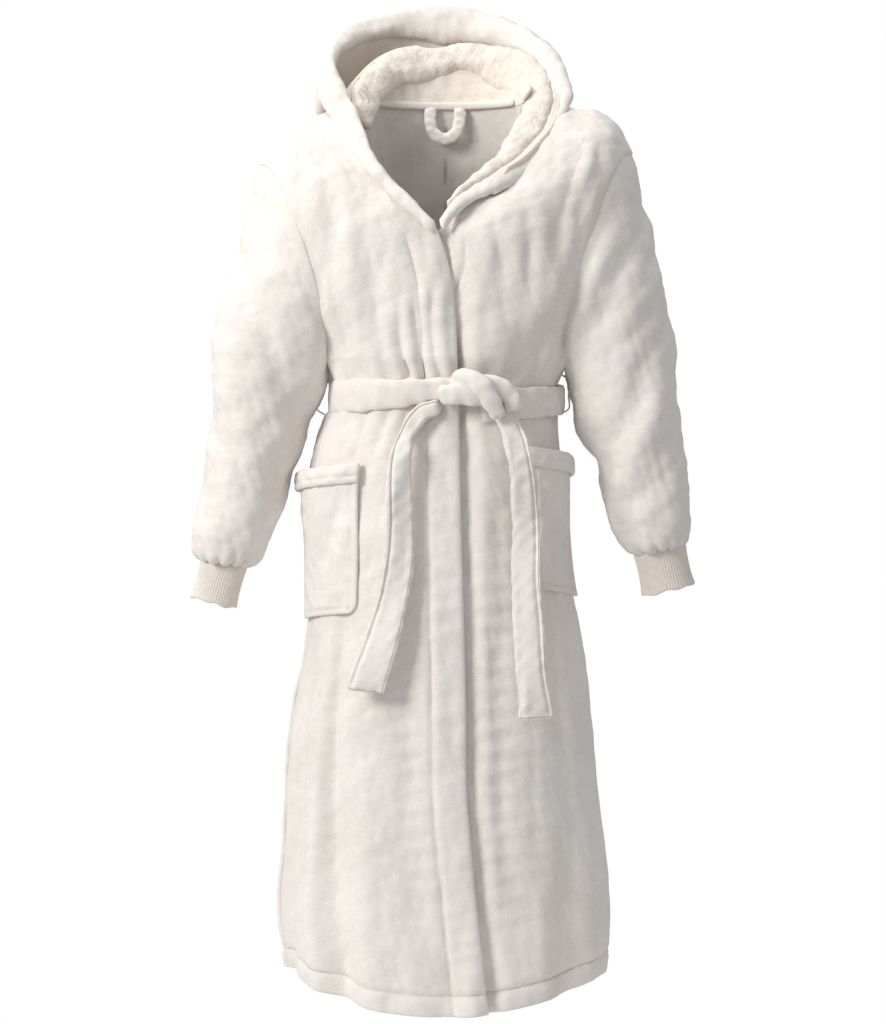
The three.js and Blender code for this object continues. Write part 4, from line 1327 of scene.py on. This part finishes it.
@dataclass
class Belt:
    """The belt round the waist, its knot and its two hanging tails.

    Attributes:
        form: the body's form.
        thickness: how thick it lies.
        knot: sideways place and drop of the knot.
        tails: for each side, (x, z, half width) down the tail.
    """

    form: BodyForm
    thickness: float = 0.0125
    knot: tuple[float, float] = (0.036, 0.404)
    tails: dict = field(default_factory=dict)

    def build(self) -> None:
        """Builds the waist band, the loops, the knot and the tails."""
        self.waist()
        self.knot_strands()
        for side in Side:
            self.tail(side)
            self.loop(side)

    def waist(self) -> None:
        """Builds the band, which narrows and twists a little towards the knot."""
        angle = np.linspace(0.30, 2 * math.pi + 0.10, 260)
        drops = [(0.30, 0.4245), (0.9, 0.420), (2.2, 0.408), (4.0, 0.408), (5.2, 0.4105), (5.9, 0.409)]
        drops += [(6.4, 0.400)]
        drop = profile(drops, angle)
        heights = [(0.30, 0.0235), (0.8, 0.0215), (4.6, 0.0225), (5.6, 0.0215), (6.0, 0.018), (6.2, 0.0155)]
        heights += [(6.4, 0.013)]
        tall = profile(heights, angle)
        thick = self.thickness * profile([(0.3, 1.0), (5.6, 1.0), (6.1, 1.35), (6.4, 1.5)], angle)
        lift = CLOTH / 2 + thick / 2 + 0.0015
        mid = self.form.point(angle, -drop, lift)
        lean = profile([(0.3, 0.06), (1.0, 0.0), (5.4, 0.0), (5.9, 0.12), (6.4, 0.34)], angle)
        across = np.stack([0 * angle, -np.sin(lean), np.cos(lean)], axis=-1)
        rings = roll(mid + across * tall[:, None], mid - across * tall[:, None], thick, 56, 0.62)
        out = ring_normals(rings)
        level = np.linspace(0, 2 * math.pi, 56, endpoint=False)[None]
        run = (angle * 0.14)[:, None]
        fold_at = 1.35 + 0.35 * np.sin(run / 0.11) + 0.3 * wander(mid, 0.2, 101)[:, None]
        groove = -0.0034 * bump(level, fold_at, 0.30) - 0.0022 * bump(level, fold_at + 0.75, 0.22)
        right_fold = -0.0045 * bump(level, 1.25, 0.16) * bump(angle, 0.62, 0.35)[:, None]
        soft = 0.0011 * wander(rings, 0.03, 103)
        rings = rings + out * (groove + right_fold + soft)[..., None]
        made = solid("belt_band", rings, PLUSH)
        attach(made, "robe")
        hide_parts("belt_waist")
        flat = np.stack([mid + across * 0.026, mid - across * 0.026], axis=0)
        declare(made, np.transpose(flat, (1, 0, 2)), ["back", "front_right", "front_left"])

    def strand(self, name: str, points: list, halves: tuple, thick: float, lean: float) -> bpy.types.Object:
        """Builds a short strand of the knot.

        Args:
            name: the piece's name.
            points: its line, as (x, how far in front of the side seams, z).
            halves: its half width at each point.
            thick: its thickness.
            lean: how far its width turns out of the front plane, in turns of a radian.

        Returns:
            The strand.
        """
        t = spaced(60, 0.1, thick / 2)
        mid = through(points, t) * [1, -1, 1] + [0, SIDE_Y, 0]
        half = through(halves, t)
        ahead = np.gradient(mid, axis=0)
        ahead /= np.linalg.norm(ahead, axis=1, keepdims=True)
        across = np.cross(ahead, np.array([0, math.cos(lean), math.sin(lean)]))
        across /= np.linalg.norm(across, axis=1, keepdims=True)
        rings = roll(mid + across * half, mid - across * half, np.full(len(t), thick), 40, 0.8)
        out = ring_normals(rings)
        amount = 0.0009 * wander(rings, 0.025, len(name))
        amount[[0, -1]] = 0
        made = solid(name, rings + out * amount[..., None], PLUSH)
        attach(made, "robe")
        return made

    def knot_strands(self) -> None:
        """Builds the knot: a strand wrapped over the band, one behind it and one off to the left."""
        x, z = self.knot[0], -self.knot[1]
        over = [(x - 0.026, 0.118, z + 0.006), (x - 0.010, 0.135, z + 0.015), (x + 0.012, 0.144, z + 0.004)]
        over += [(x + 0.026, 0.142, z - 0.018), (x + 0.036, 0.134, z - 0.040)]
        wrap = self.strand("knot_over", over, (0.009, 0.012, 0.013, 0.0125, 0.011), 0.014, 0.0)
        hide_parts("belt_knot")
        under = [(x - 0.044, 0.122, z - 0.008), (x - 0.018, 0.131, z - 0.007)]
        under += [(x + 0.010, 0.132, z - 0.010), (x + 0.030, 0.124, z - 0.014)]
        self.strand("knot_under", under, (0.013, 0.015, 0.014, 0.012), 0.015, 0.2)
        off = [(x + 0.008, 0.124, z + 0.010), (x + 0.034, 0.131, z + 0.004), (x + 0.052, 0.128, z - 0.012)]
        off += [(x + 0.056, 0.122, z - 0.030)]
        self.strand("knot_off", off, (0.010, 0.012, 0.012, 0.010), 0.012, 0.0)

    def tail(self, side: Side) -> None:
        """Builds a hanging tail, with the long fold that the knot leaves in it.

        Args:
            side: which tail.
        """
        name = side.name.lower()
        stops = np.array(self.tails[side])
        t = spaced(150, 0.42, 0.004)
        x, z, half = through(stops, t).T
        front = 0.1135 + 0.026 * smooth(-z, 0.43, 0.50) + 0.010 * smooth(-z, 0.5, 0.8)
        front = np.maximum(front, self.form.half_depth(z) + 0.0155)
        mid = np.stack([x, SIDE_Y - front, z], axis=-1)
        ahead = np.gradient(mid, axis=0)
        ahead /= np.linalg.norm(ahead, axis=1, keepdims=True)
        lean = 0.30 * np.sin(9 * t + (0.8 if side is Side.RIGHT else 2.2))
        across = np.cross(ahead, np.stack([np.sin(lean), np.cos(lean), 0 * t], axis=-1))
        across /= np.linalg.norm(across, axis=1, keepdims=True)
        reach = across * half[:, None]
        rings = roll(mid + reach, mid - reach, np.full(len(t), 0.0095), 72, 0.45)
        out = ring_normals(rings)
        level = np.linspace(0, 2 * math.pi, 72, endpoint=False)[None]
        share = np.cos(level)
        front_face = 0.5 + 0.5 * np.tanh(8 * np.sum(out * [0, -1, 0], axis=-1))
        strip = -0.45 * side.value
        fold = -0.0030 * bump(share, strip, 0.14) * (1 - 0.7 * smooth(t, 0.75, 1))[:, None]
        seam = -0.0012 * bump(np.abs(share), 0.86, 0.06)
        stitched = -0.0022 * bump(1 - t, 0.035, 0.010)[:, None]
        wavy = 0.0012 * wander(rings, (0.03, 0.03, 0.09), 111 + side.value)
        wavy = wavy + 0.0007 * wander(rings, 0.02, 113)
        amount = front_face * (fold + seam + stitched) + wavy
        amount[[0, 1, -2, -1]] = 0
        made = solid(f"tail_{name}", rings + out * amount[..., None], PLUSH)
        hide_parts(f"belt_tail_{name}")
        declare(made, np.stack([mid + reach, mid - reach], axis=1), ["knot_over"])
        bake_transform(made)

    def loop(self, side: Side) -> None:
        """Builds a belt loop at a side seam.

        Args:
            side: which side.
        """
        name = side.name.lower()
        low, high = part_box(f"{name}_belt_loop")
        middle = (low.z + high.z) / 2
        tall = 0.88 * (high.z - low.z) / 2
        t = spaced(40, 0.06, 0.001)
        z = middle + tall * np.cos(math.pi * t)
        stops = [(0, 0.003), (0.1, 0.006), (0.22, 0.0165), (0.5, 0.0178), (0.78, 0.0165), (0.9, 0.006)]
        stops += [(1, 0.003)]
        off = profile(stops, t)
        mid = self.form.point(np.full(t.shape, side.value * math.pi / 2), z, CLOTH / 2 + off)
        half = np.array([0, 0.0045, 0])
        made = solid(f"loop_{name}", roll(mid + half, mid - half, np.full(len(t), 0.0024), 16, 0.6), TAPE)
        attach(made, "robe")
        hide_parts(f"{name}_belt_loop")


# ---------------------------------------------------------------- pockets


@dataclass
class Pocket:
    """A patch pocket, with a turned-over band along its mouth.

    Attributes:
        form: the body's form.
        side: which side.
        top: drop of the band's top, at the pocket's front edge and at its side edge.
        bottom: drop of its bottom, the same way.
        band: height of the band.
        angles: where it starts and ends round the body, in degrees from the front.
        corner: radius of its bottom corners.
        gape: how far the mouth stands open.
    """

    form: BodyForm
    side: Side
    top: tuple[float, float] = (0.503, 0.516)
    bottom: tuple[float, float] = (0.704, 0.716)
    band: float = 0.026
    angles: tuple[float, float] = (39.0, 90.0)
    corner: float = 0.014
    gape: float = 0.011

    def surface(
        self, u: np.ndarray, v: np.ndarray, top: float, bottom: float, lift: np.ndarray
    ) -> np.ndarray:
        """Points of a piece of the pocket.

        Args:
            u: shares from the front edge to the side edge.
            v: shares down it.
            top: how far below the band's top it starts.
            bottom: how far above the pocket's bottom it ends.
            lift: how far off the body each point is.

        Returns:
            Rows and columns of points.
        """
        a, b = (math.radians(x) for x in self.angles)
        angle = self.side.value * (a + (b - a) * u)
        head = -(self.top[0] + (self.top[1] - self.top[0]) * u) - top
        foot = -(self.bottom[0] + (self.bottom[1] - self.bottom[0]) * u) + bottom
        z = head + (foot - head) * v[:, None]
        return self.form.point(np.broadcast_to(angle, z.shape), z, lift)

    def build(self) -> None:
        """Builds the patch and its band."""
        name = self.side.name.lower()
        u, v = spaced(46, 0.105), spaced(72, 0.185)
        uu, vv = np.meshgrid(u, v)
        open_at = self.gape * np.sin(math.pi * uu) ** 0.8 * (1 - vv) ** 1.7
        seat = CLOTH / 2 + 0.0025
        plain = self.surface(u, v, self.band * 0.55, 0.0, seat + open_at)
        rounded = self.round_corners(plain)
        centre = axis_beside(rounded)
        out = normals(rounded, centre)
        along, down = lengths(rounded, 1), lengths(rounded, 0)
        near = np.minimum(np.minimum(along, along[:, -1:] - along), down[-1:] - down)
        stitch = -0.0020 * bump(near, 0.0085, 0.0022) + 0.0012 * bump(near, 0.0045, 0.003)
        s = self.side.value
        fold = [(s * 0.136, -0.535), (s * 0.150, -0.585), (s * 0.168, -0.635), (s * 0.178, -0.68)]
        sag = crease(rounded, fold, 0.0060, 0.012)
        swell = 0.0024 * bump(along, 0.030, 0.022) * bump(down, 0.10, 0.07)
        soft = 0.0009 * wander(rounded, 0.04, 121) + 0.0006 * wander(rounded, 0.02, 122)
        fade = smooth(near, 0.004, 0.014)
        grid = rounded + out * (stitch + fade * (sag + swell + soft))[..., None]
        made = cloth(f"pocket_{name}", grid, normals(grid, centre), 0.005, PLUSH)
        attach(made, "robe")
        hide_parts(f"{name}_pocket")
        declare(made, plain, [f"front_{name}"])
        self.mouth(name)

    def round_corners(self, grid: np.ndarray) -> np.ndarray:
        """Draws the two bottom corners in to arcs.

        Args:
            grid: the square-cornered patch.

        Returns:
            The patch with round corners.
        """
        along, down = lengths(grid, 1), lengths(grid, 0)
        below = np.clip(1 - (down[-1:] - down) / self.corner, 0, 1)
        cut = self.corner * (1 - np.sqrt(1 - below**2 * 0.96))
        wide = along[:, -1:]
        share = cut / wide
        x = along / wide
        target = share + x * (1 - 2 * share)
        made = np.empty_like(grid)
        for r in range(len(grid)):
            for k in range(3):
                made[r, :, k] = np.interp(target[r], x[r], grid[r, :, k])
        return made

    def mouth(self, name: str) -> None:
        """Builds the turned-over band along the mouth.

        Args:
            name: which side, in small letters.
        """
        u, v = spaced(46, 0.112), spaced(14, self.band)
        uu, vv = np.meshgrid(u, v)
        out_by = CLOTH / 2 + 0.0055 + self.gape * np.sin(math.pi * uu) ** 0.8
        out_by = out_by + 0.004 * smooth(uu, 0.75, 1.0)
        foot = self.bottom[0] - self.top[0] - self.band
        wide = (1 + 0.03) * u - 0.012
        plain = self.surface(wide, v, 0.0, foot, out_by)
        centre = axis_beside(plain)
        out = normals(plain, centre)
        puff = 0.0026 * np.sin(math.pi * vv) ** 0.7 + 0.0011 * wander(plain, 0.022, 131)
        puff = puff - 0.0015 * bump(vv, 0.62, 0.1)
        grid = plain + out * puff[..., None]
        made = cloth(f"pocket_band_{name}", grid, normals(grid, centre), 0.008, PLUSH)
        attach(made, "robe")
        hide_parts(f"{name}_pocket_band")
        declare(made, plain, [f"pocket_{name}"])


# ---------------------------------------------------------------- neck


@dataclass
class NeckTrim:
    """The piping along the back of the neck and the loop that the robe hangs by.

    Attributes:
        form: the body's form.
        piping: radius of the piping.
        loop_half_span: half the distance between the loop's legs.
        loop_drop: how far the loop hangs down.
    """

    form: BodyForm
    piping: float = 0.0030
    loop_half_span: float = 0.0205
    loop_drop: float = 0.046

    def build(self) -> None:
        """Builds the piping and the loop."""
        turn = np.linspace(0.12, 0.88, 90) * math.pi
        inset = 0.0095
        x = -(self.form.neck_half_width - inset) * np.cos(turn)
        y = SIDE_Y + (self.form.neck_half_depth - inset) * np.sin(turn)
        mid = np.stack([x, y, 0.0002 + 0 * x], axis=-1)
        up = np.array([0, 0, 0.0052])
        rings = roll(mid + up, mid - up, np.full(90, 2 * self.piping), 20, 0.8)
        made = solid("neck_tape_piping", rings, TAPE)
        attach(made, "robe")
        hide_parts("neck_tape")
        half = pressed(rings) / 2 * up / np.linalg.norm(up)
        declare(made, np.stack([mid + half, mid - half], axis=1), ["back"])
        s, d = self.loop_half_span, self.loop_drop
        points = [(-s, 0.0, -0.002), (-s, -0.001, -0.42 * d), (-0.82 * s, -0.002, -0.78 * d)]
        points += [(-0.42 * s, -0.002, -0.96 * d), (0, -0.002, -d)]
        points += [(-a, b, c) for a, b, c in points[3::-1]]
        t = spaced(120, 0.12, 0.003)
        mid = through(points, t, even=False) + [0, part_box("hanging_loop")[0].y + 0.0030, 0]
        ahead = np.gradient(mid, axis=0)
        across = np.cross(ahead, [0, 1, 0])
        across *= (0.0086 / np.linalg.norm(across, axis=1))[:, None]
        rings = roll(mid + across, mid - across, np.full(len(t), 0.0085), 28, 0.9)
        out = ring_normals(rings)
        amount = 0.0005 * wander(rings, 0.012, 141)
        amount[[0, -1]] = 0
        made = solid("loop", rings + out * amount[..., None], PLUSH)
        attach(made, "loop")
        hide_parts("hanging_loop")
        half = pressed(rings) / 2 * across / np.linalg.norm(across, axis=1)[:, None]
        declare(made, np.stack([mid + half, mid - half], axis=1), ["neck_tape_piping"])


# ---------------------------------------------------------------- studio


@dataclass
class Studio:
    """The pale floor, the light and the camera.

    Attributes:
        distance: from the camera to the plane of the side seams.
        lens: focal length in millimetres.
        aim: sideways place and height of the middle of the view.
        fill: strength of the even light from all round.
        key: power of the main lamp in watts.
    """

    distance: float = 4.0
    lens: float = 101.9
    aim: tuple[float, float] = (-0.0028, -0.5686)
    fill: float = 0.50
    key: float = 84.0

    def floor(self) -> None:
        """Lays a pale round floor below the hem."""
        place = (0, SIDE_Y, -FLOOR_DROP)
        bpy.ops.mesh.primitive_circle_add(vertices=96, radius=FLOOR_RADIUS, fill_type="NGON", location=place)
        disc = bpy.context.object
        disc.name = "floor"
        paint = bpy.data.materials.new("floor")
        paint.use_nodes = True
        shader = paint.node_tree.nodes["Principled BSDF"]
        shader.inputs["Base Color"].default_value = (0.9, 0.9, 0.9, 1)
        shader.inputs["Roughness"].default_value = 0.8
        disc.data.materials.append(paint)

    @staticmethod
    def lamp(name: str, place: tuple, size: float, power: float, tint: tuple) -> None:
        """Adds a soft square lamp that points at the robe.

        Args:
            name: the lamp's name.
            place: where it stands.
            size: its side.
            power: its power in watts.
            tint: its colour.
        """
        light = bpy.data.lights.new(name, "AREA")
        light.size, light.energy, light.color = size, power, tint
        made = bpy.data.objects.new(name, light)
        made.location = place
        towards = Vector((0, SIDE_Y, -0.5)) - Vector(place)
        made.rotation_euler = towards.to_track_quat("-Z", "Y").to_euler()
        bpy.context.scene.collection.objects.link(made)

    def build(self) -> None:
        """Builds the floor, the world, the lamps and the camera."""
        self.floor()
        world = bpy.data.worlds.new("studio")
        world.use_nodes = True
        tree = world.node_tree
        glow = tree.nodes["Background"]
        glow.inputs["Color"].default_value = (0.97, 0.98, 1.0, 1)
        glow.inputs["Strength"].default_value = self.fill
        backdrop = tree.nodes.new("ShaderNodeBackground")
        backdrop.inputs["Color"].default_value = (1, 1, 1, 1)
        seen = tree.nodes.new("ShaderNodeLightPath").outputs["Is Camera Ray"]
        either = tree.nodes.new("ShaderNodeMixShader")
        tree.links.new(seen, either.inputs["Fac"])
        tree.links.new(glow.outputs[0], either.inputs[1])
        tree.links.new(backdrop.outputs[0], either.inputs[2])
        tree.links.new(either.outputs[0], tree.nodes["World Output"].inputs["Surface"])
        bpy.context.scene.world = world
        bpy.context.scene.view_settings.view_transform = "Standard"
        self.lamp("key", (-2.6, -2.2, 0.9), 1.3, self.key, (1.0, 0.985, 0.955))
        self.lamp("top", (-0.6, -0.4, 2.3), 1.2, 0.35 * self.key, (1.0, 0.985, 0.96))
        camera = bpy.data.cameras.new("camera")
        camera.lens, camera.sensor_width = self.lens, 36
        made = bpy.data.objects.new("camera", camera)
        made.location = (self.aim[0], SIDE_Y - self.distance, self.aim[1])
        made.rotation_euler = (math.pi / 2, 0, 0)
        bpy.context.scene.collection.objects.link(made)
        bpy.context.scene.camera = made


# ---------------------------------------------------------------- the robe


def main() -> None:
    """Builds every part of the robe, then the studio round it."""
    form = BodyForm()
    Panels(form).build()
    Sleeve(
        form,
        Side.RIGHT,
        outer=[
            (0.279, 0.19), (0.310, 0.285), (0.319, 0.37), (0.319, 0.455), (0.331, 0.533),
            (0.343, 0.588), (0.341, 0.620), (0.331, 0.632),
        ],
        inner=[
            (0.174, 0.392), (0.181, 0.424), (0.194, 0.460), (0.211, 0.505), (0.222, 0.550),
            (0.242, 0.602), (0.256, 0.634), (0.275, 0.642),
        ],
    ).build()
    Sleeve(
        form,
        Side.LEFT,
        outer=[
            (0.283, 0.190), (0.304, 0.290), (0.313, 0.370), (0.322, 0.450), (0.330, 0.519),
            (0.334, 0.570), (0.332, 0.602), (0.321, 0.613),
        ],
        inner=[
            (0.175, 0.385), (0.180, 0.413), (0.190, 0.460), (0.208, 0.505), (0.220, 0.548),
            (0.233, 0.592), (0.249, 0.618), (0.268, 0.624),
        ],
        cuff_end=(0.307, 0.6765),
        cuff_half_width=0.0320,
    ).build()
    Hood(
        form,
        rim_inner=[
            (-0.010, -0.119, -0.187), (-0.036, -0.112, -0.156), (-0.065, -0.100, -0.126),
            (-0.090, -0.082, -0.096), (-0.104, -0.062, -0.064), (-0.119, -0.036, -0.022),
            (-0.137, -0.012, 0.016), (-0.150, 0.006, 0.046), (-0.149, 0.035, 0.066),
            (-0.128, 0.070, 0.086), (-0.100, 0.100, 0.100), (-0.053, 0.126, 0.106),
            (-0.012, 0.132, 0.098), (0.035, 0.130, 0.098), (0.078, 0.112, 0.088),
            (0.112, 0.080, 0.074), (0.136, 0.045, 0.046), (0.146, 0.020, 0.020),
            (0.146, -0.002, -0.010), (0.131, -0.022, -0.036), (0.112, -0.050, -0.066),
            (0.090, -0.078, -0.093), (0.060, -0.096, -0.116), (0.024, -0.110, -0.140),
            (0.004, -0.117, -0.162), (-0.009, -0.120, -0.182),
        ],
        rim_outer=[
            (-0.016, -0.122, -0.196), (-0.046, -0.113, -0.168), (-0.077, -0.099, -0.139),
            (-0.106, -0.079, -0.107), (-0.129, -0.054, -0.074), (-0.156, -0.022, -0.030),
            (-0.174, 0.000, 0.008), (-0.178, 0.020, 0.046), (-0.167, 0.050, 0.082),
            (-0.144, 0.088, 0.112), (-0.100, 0.116, 0.134), (-0.053, 0.134, 0.148),
            (-0.012, 0.138, 0.153), (0.035, 0.136, 0.148), (0.078, 0.122, 0.136),
            (0.122, 0.088, 0.110), (0.153, 0.054, 0.078), (0.171, 0.026, 0.038),
            (0.175, 0.000, 0.000), (0.158, -0.028, -0.043), (0.144, -0.054, -0.078),
            (0.112, -0.084, -0.112), (0.072, -0.105, -0.136), (0.032, -0.117, -0.156),
            (0.013, -0.123, -0.172), (-0.001, -0.125, -0.194),
        ],
        lining_inner=[
            (-0.103, -0.022, -0.048), (-0.098, 0.000, -0.026), (-0.084, 0.030, 0.006),
            (-0.064, 0.054, 0.026), (-0.024, 0.070, 0.036), (0.004, 0.076, 0.046),
            (0.022, 0.076, 0.054), (0.047, 0.070, 0.042), (0.074, 0.055, 0.020),
            (0.100, 0.030, 0.010), (0.106, 0.000, -0.012), (0.097, -0.030, -0.038),
            (0.080, -0.054, -0.066), (0.068, -0.074, -0.090), (0.046, -0.090, -0.110),
            (0.024, -0.102, -0.130), (0.002, -0.114, -0.160),
        ],
        lining_outer=[
            (-0.128, -0.018, -0.020), (-0.128, 0.004, 0.012), (-0.112, 0.036, 0.046),
            (-0.084, 0.064, 0.074), (-0.046, 0.084, 0.088), (-0.010, 0.088, 0.082),
            (0.019, 0.088, 0.092), (0.062, 0.084, 0.086), (0.104, 0.068, 0.080),
            (0.134, 0.044, 0.056), (0.148, 0.004, 0.010), (0.140, -0.028, -0.034),
            (0.120, -0.054, -0.064), (0.096, -0.079, -0.092), (0.066, -0.096, -0.114),
            (0.032, -0.110, -0.138), (0.006, -0.118, -0.162),
        ],
    ).build()
    right_tail = [
        (-0.006, -0.428, 0.010), (-0.032, -0.437, 0.011), (-0.052, -0.466, 0.011),
        (-0.060, -0.500, 0.0150), (-0.0610, -0.545, 0.0178), (-0.0600, -0.590, 0.0185),
        (-0.0625, -0.640, 0.0192), (-0.0710, -0.690, 0.0208), (-0.0850, -0.740, 0.0240),
        (-0.1040, -0.7960, 0.0255), (-0.1070, -0.8080, 0.0250),
    ]
    left_tail = [
        (0.060, -0.418, 0.012), (0.075, -0.432, 0.014), (0.092, -0.466, 0.0148),
        (0.101, -0.510, 0.0155), (0.106, -0.560, 0.0180), (0.108, -0.610, 0.0190),
        (0.108, -0.660, 0.0198), (0.112, -0.722, 0.0210), (0.1145, -0.785, 0.0215),
        (0.121, -0.832, 0.0238), (0.122, -0.845, 0.0235),
    ]
    Belt(form, tails={Side.RIGHT: right_tail, Side.LEFT: left_tail}).build()
    Pocket(form, Side.RIGHT).build()
    Pocket(form, Side.LEFT, top=(0.480, 0.494), bottom=(0.672, 0.686), angles=(43.0, 92.0)).build()
    NeckTrim(form).build()
    Studio().build()


if __name__ == "__main__":
    logging.basicConfig(level=logging.INFO, format="%(name)s: %(message)s")
    main()
